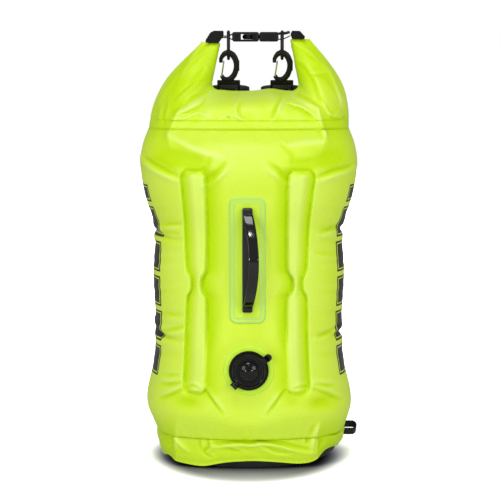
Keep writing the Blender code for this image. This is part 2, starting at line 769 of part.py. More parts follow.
def bar_turn(bar, wrap, reach):
    """Points of the webbing's turn round a bar, from above it to below it."""
    shares = ((0.0, 1.0), (0.75, 0.95), (1.0, 0.55), (1.0, 0.0), (1.0, -0.55), (0.75, -0.95), (0.0, -1.0))
    return [(bar + reach * out, BUCKLE_HEIGHT + wrap * up) for out, up in shares]


def wrapped(tab_face, bar, layer, wrap, reach):
    """The left loop: two close layers that part round the buckle's bar."""
    lead = BAR_THICKNESS + CLOSURE_WEBBING_THICKNESS
    top = [(tab_face, BUCKLE_HEIGHT + layer), (bar - lead * 1.6, BUCKLE_HEIGHT + layer),
           (bar - lead * 0.6, BUCKLE_HEIGHT + wrap)]
    bottom = [(x, 2 * BUCKLE_HEIGHT - z) for x, z in reversed(top)]
    return top + bar_turn(bar, wrap, reach) + bottom


# Rings and snap hooks

RING_WIDTH = 0.035
RING_HEIGHT = 0.0410
RING_BAR = 0.0043
HOOK_THICKNESS = 0.0062
HOOK_WIDTH = 0.030
HOOK_LENGTH = 0.050
HOOK_TILT_DEGREES = 20.0
RING_SEAT = 0.0010
EYE_WIDTH = 0.032
EYE_HEIGHT = 0.0145
EYE_BAR = 0.0032
GATE_WIRE_RADIUS = 0.0009

# Middle line of the hook's body as shares of half its width and half its length, and its girth
HOOK_LINE_SHARES = (
    (-0.70, 0.20, 0.62), (-0.66, 0.46, 0.72), (-0.22, 0.74, 0.98), (0.36, 0.64, 1.00), (0.70, 0.24, 0.98),
    (0.70, -0.22, 0.92), (0.44, -0.62, 0.92), (0.02, -0.82, 0.96), (-0.44, -0.78, 0.80), (-0.64, -0.60, 0.66),
)
HOOK_GIRTH = 0.0082
GATE_FOOT_SHARE = (-0.64, -0.62)
GATE_TOP_SHARE = (-0.44, 0.20)


def hook_x(side):
    """X of a hook and of the ring that it hangs on."""
    return CLOSURE_OFFSET_X + side * HOOK_SPACING / 2


def ring_low():
    """Height of the upper face of a ring's lower bow."""
    return ring_top() - RING_HEIGHT + RING_BAR


def ring_top():
    """Highest point of a ring, hanging on the closure webbing."""
    wrap = BAR_HEIGHT / 2 + CLOSURE_WEBBING_THICKNESS + SEAT_GAP * 2
    return BUCKLE_HEIGHT + wrap + RING_BAR + SEAT_GAP


def make_rings():
    """D-shaped rings, seen edge-on from the front, with the webbing through them."""
    half = (RING_WIDTH - RING_BAR) / 2
    top = ring_top() - RING_BAR / 2
    low = ring_top() - RING_HEIGHT + RING_BAR / 2
    corner = RING_BAR
    for side, word in ((-1, "left"), (1, "right")):
        x = hook_x(side)
        line = [
            (0.0, top), (half - corner, top),
            (half - corner * 0.3, top - corner * 0.3), (half, top - corner),
        ]
        bow_centre = low + half
        line.append((half, bow_centre))
        for step in range(1, 6):
            angle = math.pi / 2 * step / 5
            line.append((half * math.cos(angle), bow_centre - half * math.sin(angle)))
        mirrored = [(-y, z) for y, z in reversed(line[1:-1])]
        path = [Vector((x, y, z)) for y, z in line + mirrored]
        bm = closed_tube(path, RING_BAR / 2, 8)
        pivot = (x, 0, BUCKLE_HEIGHT)
        finish(f"d_ring_{word}", bm, BLACK, 0.4, origin=pivot, sharp_degrees=50)


def closed_tube(path, radius, count):
    """A round tube along a closed flat path."""
    centre = sum(path, Vector()) / len(path)
    normal = (path[1] - path[0]).cross(centre - path[0]).normalized()
    rings = []
    for index, point in enumerate(path):
        tangent = (path[(index + 1) % len(path)] - path[index - 1]).normalized()
        across = tangent.cross(normal).normalized()
        ring = []
        for step in range(count):
            angle = 2 * math.pi * step / count
            ring.append(point + across * radius * math.cos(angle) + normal * radius * math.sin(angle))
        rings.append(ring)
    return loft(rings, "join")


def hook_place(side):
    """Matrix from a hook's own plane to its leaning place under the ring."""
    tilt = math.radians(HOOK_TILT_DEGREES)
    hang = ring_low() + HOOK_THICKNESS / 2 * math.sin(tilt) + RING_SEAT
    crown_z = HOOK_LENGTH / 2 * HOOK_LINE_SHARES[2][1] - HOOK_GIRTH / 2
    lean = Matrix.Rotation(tilt, 4, "X")
    return Matrix.Translation((hook_x(side), 0, hang)) @ lean @ Matrix.Translation((0, 0, -crown_z))


def eye_bar_height():
    """Z of the eye's lower bar in the hook's own plane."""
    return -HOOK_LENGTH / 2 - EYE_HEIGHT + EYE_BAR


def hook_body():
    """The hook's curved body in its own plane."""
    points = [Vector((HOOK_WIDTH / 2 * u, 0, HOOK_LENGTH / 2 * w)) for u, w, girth in HOOK_LINE_SHARES]
    count = 19
    line = smooth_path(points, count)
    sizes = girths_along(count)
    rings = []
    section = rounded_rectangle(1.0, 1.0, 0.3, 2)
    for index, point in enumerate(line):
        ahead = line[min(index + 1, count - 1)]
        behind = line[max(index - 1, 0)]
        across = (ahead - behind).normalized().cross(Vector((0, 1, 0)))
        girth = HOOK_GIRTH * sizes[index]
        thick = HOOK_THICKNESS * (0.6 + 0.4 * sizes[index])
        rings.append([point + across * girth * v + Vector((0, thick * u, 0)) for u, v in section])
    return loft(rings)


def girths_along(count):
    """Girth shares at even steps along the hook's middle line."""
    rows = [(index / (len(HOOK_LINE_SHARES) - 1), row[2]) for index, row in enumerate(HOOK_LINE_SHARES)]
    return [smooth_row(rows, step / (count - 1))[0] for step in range(count)]


def make_hooks():
    """Moulded snap hooks, each with a webbing eye and a sprung wire gate."""
    for side, word in ((-1, "left"), (1, "right")):
        place = hook_place(side)
        bar = place @ Vector((0, 0, eye_bar_height() - EYE_BAR / 2))
        bm = hook_body()
        bmesh.ops.transform(bm, matrix=place, verts=bm.verts)
        hook = finish(f"snap_hook_{word}", bm, BLACK, 0.35, origin=bar)
        top = -HOOK_LENGTH / 2 + EYE_BAR
        foot = -HOOK_LENGTH / 2 - EYE_HEIGHT
        half = EYE_WIDTH / 2
        frame = block((-half, -EYE_BAR * 0.8, foot), (half, EYE_BAR * 0.8, top), EYE_BAR * 0.4)
        bmesh.ops.transform(frame, matrix=place, verts=frame.verts)
        boolean(hook, frame, "UNION")
        slot_half = half - EYE_BAR
        slot_low = (-slot_half, -HOOK_THICKNESS, foot + EYE_BAR)
        slot = block(slot_low, (slot_half, HOOK_THICKNESS, top - EYE_BAR * 2))
        bmesh.ops.transform(slot, matrix=place, verts=slot.verts)
        boolean(hook, slot)
        u, w = HOOK_WIDTH / 2 * GATE_FOOT_SHARE[0], HOOK_LENGTH / 2 * GATE_FOOT_SHARE[1]
        hole = cylinder((u, -HOOK_THICKNESS, w), (u, HOOK_THICKNESS, w), GATE_WIRE_RADIUS + RUNNING_GAP, 12)
        bmesh.ops.transform(hole, matrix=place, verts=hole.verts)
        boolean(hook, hole)
        make_gate(word, place, u, w)


def make_gate(word, place, foot_u, foot_w):
    """Closed wire loop: its lower bar turns in the hook, its upper one rests behind the nose."""
    top_u = HOOK_WIDTH / 2 * GATE_TOP_SHARE[0]
    top_w = HOOK_LENGTH / 2 * GATE_TOP_SHARE[1]
    half = HOOK_THICKNESS / 2 + GATE_WIRE_RADIUS + RUNNING_GAP
    corners = [
        (foot_u, -half, foot_w), (foot_u, half, foot_w), (top_u, half, top_w), (top_u, -half, top_w),
    ]
    radius = GATE_WIRE_RADIUS * 1.2
    path = []
    for index, corner in enumerate(corners):
        corner = Vector(corner)
        before = Vector(corners[index - 1])
        after = Vector(corners[(index + 1) % 4])
        path.append(corner + (before - corner).normalized() * radius)
        path.append(corner + (after - corner).normalized() * radius)
    bm = closed_tube(path, GATE_WIRE_RADIUS, 6)
    bmesh.ops.transform(bm, matrix=place, verts=bm.verts)
    pivot = place @ Vector((foot_u, 0, foot_w))
    finish(f"wire_gate_{word}", bm, STEEL, 0.3, 1.0, origin=pivot, sharp_degrees=60)


# Grab handle: a black strap bowed out of a welded patch

HANDLE_X = -0.0017
PATCH_THICKNESS = 0.0010
HANDLE_BASE_THICKNESS = 0.0020
HANDLE_STRAP_WIDTH = 0.0135
HANDLE_STRAP_THICKNESS = 0.0032
HANDLE_LEAN = 0.0085


def plate_on_front(name, width, length, corner, lift, thickness, colour, roughness):
    """Rounded plate bent to the front skin, at a lift above it."""
    bm = bmesh.new()
    outline = rounded_rectangle(width, length, corner, 3)
    bm.faces.new([bm.verts.new((HANDLE_X + u, 0, HANDLE_HEIGHT + w)) for u, w in outline])
    cuts = [((HANDLE_X + width * share, 0, 0), (1, 0, 0)) for share in (-0.25, 0, 0.25)]
    for height in CHAMBER_HEIGHTS:
        if abs(height - HANDLE_HEIGHT) < length / 2:
            cuts.append(((0, 0, height), (0, 0, 1)))
    for point, normal in cuts:
        geom = bm.verts[:] + bm.edges[:] + bm.faces[:]
        bmesh.ops.bisect_plane(bm, geom=geom, plane_co=point, plane_no=normal)
    grown = bmesh.ops.extrude_face_region(bm, geom=bm.faces[:])["geom"]
    raised = {item for item in grown if isinstance(item, bmesh.types.BMVert)}
    for vert in bm.verts:
        over = lift + thickness if vert in raised else lift
        vert.co.y = skin_y(vert.co.x, vert.co.z) - over
    return finish(name, bm, colour, roughness)


def make_handle():
    """Patch, base strip and the strap that the hand holds."""
    lift = SKIN_GAP
    plate_on_front(
        "handle_patch", HANDLE_PATCH_WIDTH, HANDLE_PATCH_LENGTH, HANDLE_PATCH_WIDTH * 0.2,
        lift, PATCH_THICKNESS, LIME, 0.4,
    )
    lift += PATCH_THICKNESS + SEAT_GAP
    plate_on_front(
        "handle_base", HANDLE_BASE_WIDTH, HANDLE_BASE_LENGTH, HANDLE_BASE_WIDTH * 0.3,
        lift, HANDLE_BASE_THICKNESS, BLACK, 0.4,
    )
    lift += HANDLE_BASE_THICKNESS + SEAT_GAP + HANDLE_STRAP_THICKNESS / 2
    count = 25
    path = []
    for step in range(count):
        t = step / (count - 1)
        rise = math.sin(math.pi * min(max((t - 0.05) / 0.9, 0.0), 1.0)) ** 0.8
        height = HANDLE_HEIGHT + (HANDLE_BASE_LENGTH - HANDLE_STRAP_THICKNESS) * (t - 0.5)
        y = skin_y(HANDLE_X, height) - lift - HANDLE_BOW * rise
        path.append(Vector((HANDLE_X + HANDLE_LEAN * rise, y, height)))
    section = rounded_rectangle(
        HANDLE_STRAP_WIDTH, HANDLE_STRAP_THICKNESS, HANDLE_STRAP_THICKNESS * 0.3, 1,
    )
    finish("handle_strap", tube_path(path, section, (1, 0, 0)), BLACK, 0.15)


# Inflation valve; reaches are measured out from the chamber's flat seat

FLANGE_THICKNESS = 0.0008
BASE_RIM_RADIUS = VALVE_RADIUS
BASE_RIM_REACH = 0.0044
BASE_FLOOR_THICKNESS = 0.0032
BASE_FLOOR_HOLE_RADIUS = 0.0120
INSERT_RADIUS = 0.0199
INSERT_RIM_RADIUS = 0.0248
INSERT_RIM_THICKNESS = 0.0016
INSERT_BORE_RADIUS = 0.0085
SEAL_THICKNESS = 0.0008
PLUG_RADIUS = 0.0136
PLUG_DEPTH = 0.0042
CAP_RADIUS = 0.0222
CAP_THICKNESS = 0.0024
CAP_DOME_RADIUS = 0.0128
CAP_DOME_HEIGHT = 0.0046
CAP_HINGE_REACH_OUT = 0.0285
CAP_HINGE_DEGREES = 225.0
CAP_TAB_DEGREES = 36.0
CAP_TAB_RADIUS = 0.0335
CAP_TAB_WIDTH = 0.0100
KNUCKLE_RADIUS = 0.0019
KNUCKLE_LENGTH = 0.0050
HINGE_PIN_RADIUS = 0.0009
FLAP_RADIUS = 0.0105
FLAP_THICKNESS = 0.0010
FLAP_TRAVEL = 0.0018
STEM_RADIUS = 0.0017
VALVE_STEPS = 30


def valve_reaches():
    """Reach of each layer of the valve above the chamber's seat."""
    flange = SEAT_GAP + FLANGE_THICKNESS
    seal = BASE_RIM_REACH + SEAT_GAP
    rim = seal + SEAL_THICKNESS + SEAT_GAP
    rim_top = rim + INSERT_RIM_THICKNESS
    cap = rim_top + SEAT_GAP
    return flange, seal, rim, rim_top, cap


def radial_block(degrees, start, end, width, low, high, offset=0.0):
    """A block on a ray of the valve: from start to end out from the axis, offset along the tangent."""
    bm = block((start, -high, offset - width / 2), (end, -low, offset + width / 2))
    bmesh.ops.transform(bm, matrix=ray(degrees), verts=bm.verts)
    return bm


def ray(degrees):
    """Matrix from a ray along +X at the origin to one at an angle round the valve's axis."""
    turn = Matrix.Rotation(math.radians(-degrees), 4, "Y")
    return Matrix.Translation((0, -VALVE_SEAT_DEPTH, VALVE_HEIGHT)) @ turn


def tangent_bar(degrees, reach_out, reach, radius, half_length, count):
    """A round bar along the tangent at a ray's end."""
    bm = cylinder((reach_out, -reach, -half_length), (reach_out, -reach, half_length), radius, count)
    bmesh.ops.transform(bm, matrix=ray(degrees), verts=bm.verts)
    return bm


def make_valve():
    """Welded ring, socket, threaded insert, flap and hinged cap."""
    centre = (0, -VALVE_SEAT_DEPTH, VALVE_HEIGHT)
    flange, seal, rim, rim_top, cap = valve_reaches()
    throat = VALVE_RECESS_RADIUS - SEAT_GAP
    ring = [
        (VALVE_RECESS_RADIUS, SEAT_GAP), (VALVE_FLANGE_RADIUS, SEAT_GAP),
        (VALVE_FLANGE_RADIUS - FLANGE_THICKNESS, flange), (VALVE_RECESS_RADIUS, flange),
    ]
    finish("valve_flange", turned(ring, centre, VALVE_STEPS, True), LIME, 0.35)
    floor = -VALVE_RECESS_DEPTH + SEAT_GAP
    ledge = floor + BASE_FLOOR_THICKNESS
    bore = INSERT_RADIUS + RUNNING_GAP
    socket = [
        (BASE_FLOOR_HOLE_RADIUS, floor), (throat, floor), (throat, flange + SEAT_GAP),
        (BASE_RIM_RADIUS, flange + SEAT_GAP), (BASE_RIM_RADIUS, BASE_RIM_REACH * 0.75),
        (BASE_RIM_RADIUS * 0.97, BASE_RIM_REACH), (bore, BASE_RIM_REACH), (bore, ledge),
        (BASE_FLOOR_HOLE_RADIUS, ledge),
    ]
    finish("valve_base", turned(socket, centre, VALVE_STEPS, True), BLACK, 0.4)
    washer = [
        (bore + SEAL_THICKNESS, seal), (INSERT_RIM_RADIUS - SEAL_THICKNESS, seal),
        (INSERT_RIM_RADIUS - SEAL_THICKNESS, seal + SEAL_THICKNESS),
        (bore + SEAL_THICKNESS, seal + SEAL_THICKNESS),
    ]
    finish("valve_seal", turned(washer, centre, VALVE_STEPS, True), GREY, 0.6)
    make_insert(centre, ledge + SEAT_GAP, rim, rim_top, cap)
    make_flap(centre, ledge)
    make_cap(centre, cap)


def make_insert(centre, foot, rim, rim_top, cap):
    """Threaded insert with a spider for the flap's stem and two hinge lugs."""
    recess = PLUG_RADIUS + RUNNING_GAP
    step = rim_top - PLUG_DEPTH - RUNNING_GAP * 3
    profile = [
        (INSERT_BORE_RADIUS, foot), (INSERT_RADIUS, foot), (INSERT_RADIUS, rim), (INSERT_RIM_RADIUS, rim),
        (INSERT_RIM_RADIUS, rim_top), (recess, rim_top), (recess, step), (INSERT_BORE_RADIUS, step),
    ]
    insert = finish("valve_insert", turned(profile, centre, VALVE_STEPS, True), BLACK, 0.35, origin=centre)
    spoke = STEM_RADIUS * 1.6
    for degrees in (0, 90):
        boolean(insert, radial_block(
            degrees, -INSERT_BORE_RADIUS - STEM_RADIUS, INSERT_BORE_RADIUS + STEM_RADIUS, spoke * 2,
            foot + SEAT_GAP, foot + spoke,
        ), "UNION")
    stem_start = (0, -VALVE_SEAT_DEPTH - foot - spoke * 2, VALVE_HEIGHT)
    stem_end = (0, -VALVE_SEAT_DEPTH - foot + spoke, VALVE_HEIGHT)
    boolean(insert, cylinder(stem_start, stem_end, STEM_RADIUS + RUNNING_GAP, 12))
    lug_width = KNUCKLE_RADIUS
    hinge = cap + CAP_THICKNESS / 2
    for sign in (-1, 1):
        offset = sign * (KNUCKLE_LENGTH / 2 + RUNNING_GAP + lug_width / 2)
        boolean(insert, radial_block(
            CAP_HINGE_DEGREES, INSERT_RIM_RADIUS - lug_width, CAP_HINGE_REACH_OUT + KNUCKLE_RADIUS, lug_width,
            rim + SEAT_GAP, hinge + KNUCKLE_RADIUS, offset,
        ), "UNION")
    half = KNUCKLE_LENGTH / 2 + RUNNING_GAP + lug_width / 2
    pin = tangent_bar(CAP_HINGE_DEGREES, CAP_HINGE_REACH_OUT, hinge, HINGE_PIN_RADIUS, half, 10)
    boolean(insert, pin, "UNION")


def make_flap(centre, ledge):
    """Silicone disc that seals the insert from inside, on a stem with a snap head."""
    under = ledge - FLAP_THICKNESS
    spoke = STEM_RADIUS * 1.6
    head = ledge + SEAT_GAP + spoke + RUNNING_GAP + FLAP_TRAVEL
    profile = [
        (0, under), (FLAP_RADIUS, under + FLAP_THICKNESS * 0.4), (FLAP_RADIUS, ledge), (STEM_RADIUS, ledge),
        (STEM_RADIUS, head), (STEM_RADIUS * 1.9, head),
        (STEM_RADIUS * 0.8, head + STEM_RADIUS * 1.6), (0, head + STEM_RADIUS * 1.6),
    ]
    finish("valve_flap", turned(profile, centre, 24, False), GREY, 0.5, origin=centre)


def make_cap(centre, low):
    """Plug with a glossy dome, a pull tab and a hinge knuckle."""
    top = low + CAP_THICKNESS
    groove = CAP_THICKNESS * 0.3
    profile = [
        (0, low - PLUG_DEPTH), (PLUG_RADIUS - PLUG_DEPTH * 0.25, low - PLUG_DEPTH),
        (PLUG_RADIUS, low - PLUG_DEPTH * 0.4), (PLUG_RADIUS, low), (CAP_RADIUS, low),
        (CAP_RADIUS + groove, low + groove), (CAP_RADIUS, top), (CAP_DOME_RADIUS + groove * 5, top),
        (CAP_DOME_RADIUS + groove * 3, top - groove), (CAP_DOME_RADIUS + groove, top),
        (CAP_DOME_RADIUS, top + groove),
    ]
    for step in range(1, 5):
        angle = math.pi / 2 * step / 5
        profile.append((CAP_DOME_RADIUS * math.cos(angle), top + groove + CAP_DOME_HEIGHT * math.sin(angle)))
    profile.append((0, top + groove + CAP_DOME_HEIGHT))
    hinge_reach = low + CAP_THICKNESS / 2
    pivot = ray(CAP_HINGE_DEGREES) @ Vector((CAP_HINGE_REACH_OUT, -hinge_reach, 0))
    cap = finish("valve_cap", turned(profile, centre, VALVE_STEPS, False), BLACK, 0.12, origin=pivot)
    boolean(cap, radial_block(
        CAP_TAB_DEGREES, CAP_RADIUS - CAP_THICKNESS, CAP_TAB_RADIUS, CAP_TAB_WIDTH,
        low + SEAT_GAP, low + CAP_THICKNESS * 0.9,
    ), "UNION")
    boolean(cap, radial_block(
        CAP_HINGE_DEGREES, CAP_RADIUS - CAP_THICKNESS, CAP_HINGE_REACH_OUT, KNUCKLE_LENGTH,
        low + groove, top - groove,
    ), "UNION")
    knuckle = tangent_bar(
        CAP_HINGE_DEGREES, CAP_HINGE_REACH_OUT, hinge_reach, KNUCKLE_RADIUS, KNUCKLE_LENGTH / 2, 16,
    )
    boolean(cap, knuckle, "UNION")
    boolean(cap, tangent_bar(
        CAP_HINGE_DEGREES, CAP_HINGE_REACH_OUT, hinge_reach, HINGE_PIN_RADIUS + SEAT_GAP, KNUCKLE_LENGTH, 12,
    ))


# Shoulder straps behind the body

# Out as shares of the body's half width, back as shares of its back depth, up of the upper weld's height;
# what rises above the weld is a share of the rise length instead
PAD_RISE_LENGTH = 0.462
PAD_LINE_SHARES = (
    (0.246, 0.310, 1.110), (0.247, 0.420, 1.117), (0.252, 0.575, 1.094), (0.270, 0.900, 1.020),
    (0.310, 1.190, 0.905), (0.360, 1.370, 0.750), (0.400, 1.380, 0.585), (0.430, 1.220, 0.420),
)
PAD_LINE_POINTS = 40
LOOP_LENGTH = 0.0135
LOCK_WIDTH = 0.0270
LOCK_BAR = 0.0028
LOCK_SLOT = 0.0062
LOCK_THICKNESS = 0.0036
ANCHOR_SHARE = 0.80
ANCHOR_WIDTH = 0.026
ANCHOR_HEIGHT = 0.024
ANCHOR_THICKNESS = 0.0016
TAIL_LENGTH = 0.030
STRAP_BEND_HEIGHT_SHARE = 1.85
STRAP_BEND_BACK_SHARE = 0.17
STRAP_HOLD_SHARE = 0.35


def pad_point(side, out, back, up):
    """A point of a pad's middle line; the top is drawn over to the closure's middle."""
    fade = smooth_step(up, PAD_LINE_SHARES[-1][2], 1.0)
    x = side * BODY_HALF_WIDTH * out + CLOSURE_OFFSET_X * fade
    height = HIGH_WELD_HEIGHT * min(up, 1.0) + PAD_RISE_LENGTH * max(up - 1.0, 0.0)
    return Vector((x, BODY_BACK * back, height))


def pad_line(side, count):
    """Even points down a pad's middle line."""
    return smooth_path([pad_point(side, *row) for row in PAD_LINE_SHARES], count)


def make_pads():
    """Padded straps with round corners at both ends."""
    count = 20
    section = rounded_rectangle(PAD_WIDTH, PAD_THICKNESS, PAD_THICKNESS * 0.45, 2)
    for side, word in ((-1, "left"), (1, "right")):
        line = pad_line(side, count)
        bm = tube_path(line, section, (1, 0, 0))
        finish(f"shoulder_pad_{word}", bm, BLACK, 0.8, sharp_degrees=60)


def local_frame(origin, along, width_axis):
    """Matrix whose x is the webbing's width, y runs along it and z lies across it."""
    along = along.normalized()
    across = Vector(width_axis).cross(along).normalized()
    width = along.cross(across).normalized()
    turn = Matrix((width, along, across)).transposed().to_4x4()
    return Matrix.Translation(origin) @ turn


def webbing_loop(name, place, length, bar_radius, width, thickness):
    """Two close layers from a sewn end that part round a bar at the given distance."""
    layer = (thickness + WEBBING_LAYER_GAP) / 2
    wrap = bar_radius + thickness / 2 + SEAT_GAP
    top = [(0.0, layer), (length - wrap * 1.7, layer), (length - wrap * 0.8, wrap * 0.86)]
    turn = ((0.0, 1.0), (0.5, 0.866), (0.866, 0.5), (1.0, 0.0), (0.866, -0.5), (0.5, -0.866), (0.0, -1.0))
    around = [(length + wrap * y, wrap * z) for y, z in turn]
    points = top + around + [(y, -z) for y, z in reversed(top)]
    path = [place @ Vector((0, y, z)) for y, z in points]
    axis = place.to_3x3() @ Vector((1, 0, 0))
    finish(name, tube_path(path, rectangle(width, thickness), axis), BLACK, 0.8, sharp_degrees=60)


def make_hook_webbing():
    """Loops from the pads' upper ends through the eyes of the hooks."""
    for side, word in ((-1, "left"), (1, "right")):
        line = pad_line(side, PAD_LINE_POINTS)
        bar = hook_place(side) @ Vector((0, 0, eye_bar_height() - EYE_BAR / 2))
        start = line[0] + (bar - line[0]).normalized() * SEAT_GAP * 2
        start.x = bar.x
        place = local_frame(start, bar - start, (1, 0, 0))
        radius = math.hypot(EYE_BAR * 0.8, EYE_BAR / 2)
        webbing_loop(
            f"hook_webbing_{word}", place, (bar - start).length, radius,
            CLOSURE_WEBBING_WIDTH, CLOSURE_WEBBING_THICKNESS,
        )


def lock_frame(side):
    """Local frame at the lower end of a pad, running down the strap."""
    line = pad_line(side, PAD_LINE_POINTS)
    along = (line[-1] - line[-2]).normalized()
    return local_frame(line[-1] + along * SEAT_GAP, along, (1, 0, 0))


def make_ladder_locks():
    """Strap adjusters, the loops that hold them and the long lower webbing."""
    pitch = LOCK_BAR + LOCK_SLOT
    for side, word in ((-1, "left"), (1, "right")):
        place = lock_frame(side)
        radius = math.hypot(LOCK_BAR, LOCK_THICKNESS) / 2
        webbing_loop(
            f"pad_webbing_{word}", place, LOOP_LENGTH, radius, STRAP_WEBBING_WIDTH, STRAP_WEBBING_THICKNESS,
        )
        start = LOOP_LENGTH - LOCK_BAR / 2
        end = start + pitch * 2 + LOCK_BAR
        half = LOCK_WIDTH / 2
        near, far = (-half, start, -LOCK_THICKNESS / 2), (half, end, LOCK_THICKNESS / 2)
        frame = block(near, far, LOCK_THICKNESS * 0.25)
        bmesh.ops.transform(frame, matrix=place, verts=frame.verts)
        lock = finish(f"ladder_lock_{word}", frame, BLACK, 0.4)
        slot_half = STRAP_WEBBING_WIDTH / 2 + RUNNING_GAP
        for index in range(2):
            low = start + LOCK_BAR + pitch * index
            slot = block((-slot_half, low, -LOCK_THICKNESS), (slot_half, low + LOCK_SLOT, LOCK_THICKNESS))
            bmesh.ops.transform(slot, matrix=place, verts=slot.verts)
            boolean(lock, slot)
        make_lower_webbing(side, word, place, LOOP_LENGTH + pitch)


def back_corner(side):
    """Point and outward normal of the skirt's outline where the strap is anchored."""
    half_width, front, back = body_sizes(LOW_WELD_HEIGHT)
    share = SKIRT_SHARES[-1][1]
    half_width, back = half_width * share, back * share
    rest = (1 - ANCHOR_SHARE**SECTION_SQUARENESS) ** (1 / SECTION_SQUARENESS)
    power = SECTION_SQUARENESS - 1
    normal = Vector((side * ANCHOR_SHARE**power / half_width, rest**power / back, 0)).normalized()
    height = SKIRT_FOOT_HEIGHT + ANCHOR_HEIGHT
    return Vector((side * half_width * ANCHOR_SHARE, back * rest, height)), normal


def make_lower_webbing(side, word, place, bar):
    """Webbing from the base corner, round the lock's middle bar, with a free tail inside."""
    thickness = STRAP_WEBBING_THICKNESS
    wrap = math.hypot(LOCK_BAR, LOCK_THICKNESS) / 2 + thickness / 2 + SEAT_GAP
    pitch = LOCK_BAR + LOCK_SLOT
    tail = [place @ Vector((0, bar + pitch + TAIL_LENGTH, -wrap)), place @ Vector((0, bar + pitch, -wrap))]
    turn = (
        (0.0, -1.0), (-0.5, -0.866), (-0.866, -0.5), (-1.0, 0.0),
        (-0.866, 0.5), (-0.5, 0.866), (0.0, 1.0),
    )
    around = [place @ Vector((0, bar + wrap * y, wrap * z)) for y, z in turn]
    leave = place @ Vector((0, bar + pitch * 1.4, wrap))
    foot, normal = back_corner(side)
    over = SKIN_GAP + ANCHOR_THICKNESS + SEAT_GAP + thickness / 2
    end = foot + normal * over
    end.z = foot.z - ANCHOR_HEIGHT * STRAP_HOLD_SHARE
    rise = end.copy()
    rise.z = foot.z + ANCHOR_HEIGHT * STRAP_HOLD_SHARE
    bend = LOW_WELD_HEIGHT * STRAP_BEND_HEIGHT_SHARE
    clear = foot + normal * (over + body_sizes(bend)[2] * STRAP_BEND_BACK_SHARE)
    clear.z = bend
    run = smooth_path([leave, leave.lerp(clear, 0.5) + normal * LOCK_SLOT, clear, rise], 14) + [end]
    points = tail + around + run
    across = place.to_3x3() @ Vector((1, 0, 0))
    level = Vector((normal.y, -normal.x, 0))
    axes = [across] * (len(tail) + len(around))
    for index in range(len(run)):
        axes.append(across.lerp(level, smooth_step(index / (len(run) - 1), 0.2, 0.8)))
    section = rectangle(STRAP_WEBBING_WIDTH, thickness)
    finish(f"lower_webbing_{word}", tube_path(points, section, axes), BLACK, 0.8, sharp_degrees=60)


def make_anchors():
    """Patches welded over the base corners, and the tow loop on the right."""
    for side, word in ((-1, "left"), (1, "right")):
        foot, normal = back_corner(side)
        place = local_frame(foot + normal * (SKIN_GAP + ANCHOR_THICKNESS / 2), Vector((0, 0, 1)), normal)
        width, height, thickness = ANCHOR_WIDTH / 2, ANCHOR_HEIGHT / 2, ANCHOR_THICKNESS / 2
        bm = block((-thickness, -height, -width), (thickness, height, width))
        bmesh.ops.transform(bm, matrix=place, verts=bm.verts)
        finish(f"anchor_tab_{word}", bm, BLACK, 0.7)


TOW_LOOP_REACH = 0.0245
TOW_LOOP_BACK = 0.022
TOW_LOOP_HALF_GAP = 0.0034
TOW_LOOP_HEIGHT = 0.036


def make_tow_loop():
    """Webbing loop at the right side of the skirt, where a tow line clips."""
    half_width, front, back = body_sizes(LOW_WELD_HEIGHT)
    half_width *= SKIRT_SHARES[-1][1]
    skin = half_width * (1 - (TOW_LOOP_BACK / back) ** SECTION_SQUARENESS) ** (1 / SECTION_SQUARENESS)
    start = skin + SKIN_GAP
    end = start + TOW_LOOP_REACH
    gap = TOW_LOOP_HALF_GAP
    layer = (STRAP_WEBBING_THICKNESS + WEBBING_LAYER_GAP) / 2
    half = [
        (start, layer), (start + gap * 1.2, layer),
        (start + gap * 2.6, gap * 0.8), (start + gap * 4, gap * 1.2),
    ]
    centre = end - gap * 1.2 - STRAP_WEBBING_THICKNESS / 2
    for step in range(1, 5):
        angle = math.pi / 2 * (1 - step / 5)
        half.append((centre + gap * 1.2 * math.cos(angle), gap * 1.2 * math.sin(angle)))
    outline = half + [(centre + gap * 1.2, 0.0)] + [(x, -y) for x, y in reversed(half)]
    path = [Vector((x, TOW_LOOP_BACK + y, TOW_LOOP_HEIGHT)) for x, y in outline]
    section = rectangle(STRAP_WEBBING_WIDTH, STRAP_WEBBING_THICKNESS)
    finish("tow_loop", tube_path(path, section, (0, 0, 1)), BLACK, 0.8, sharp_degrees=60)


make_air_chamber()
make_liner()
make_skirt_and_base()
make_neck()
make_roll_top()
make_end_tabs()
make_buckle_female()
make_buckle_male()
make_closure_webbing()
make_rings()
make_hooks()
make_handle()
make_valve()
make_pads()
make_hook_webbing()
make_ladder_locks()
make_anchors()
make_tow_loop()
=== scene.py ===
"""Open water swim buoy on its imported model: coated fabric, webbing, moulded fittings, valve and handle."""

import json
import math

import bmesh
import bpy
import numpy as np
from mathutils import Matrix, Vector

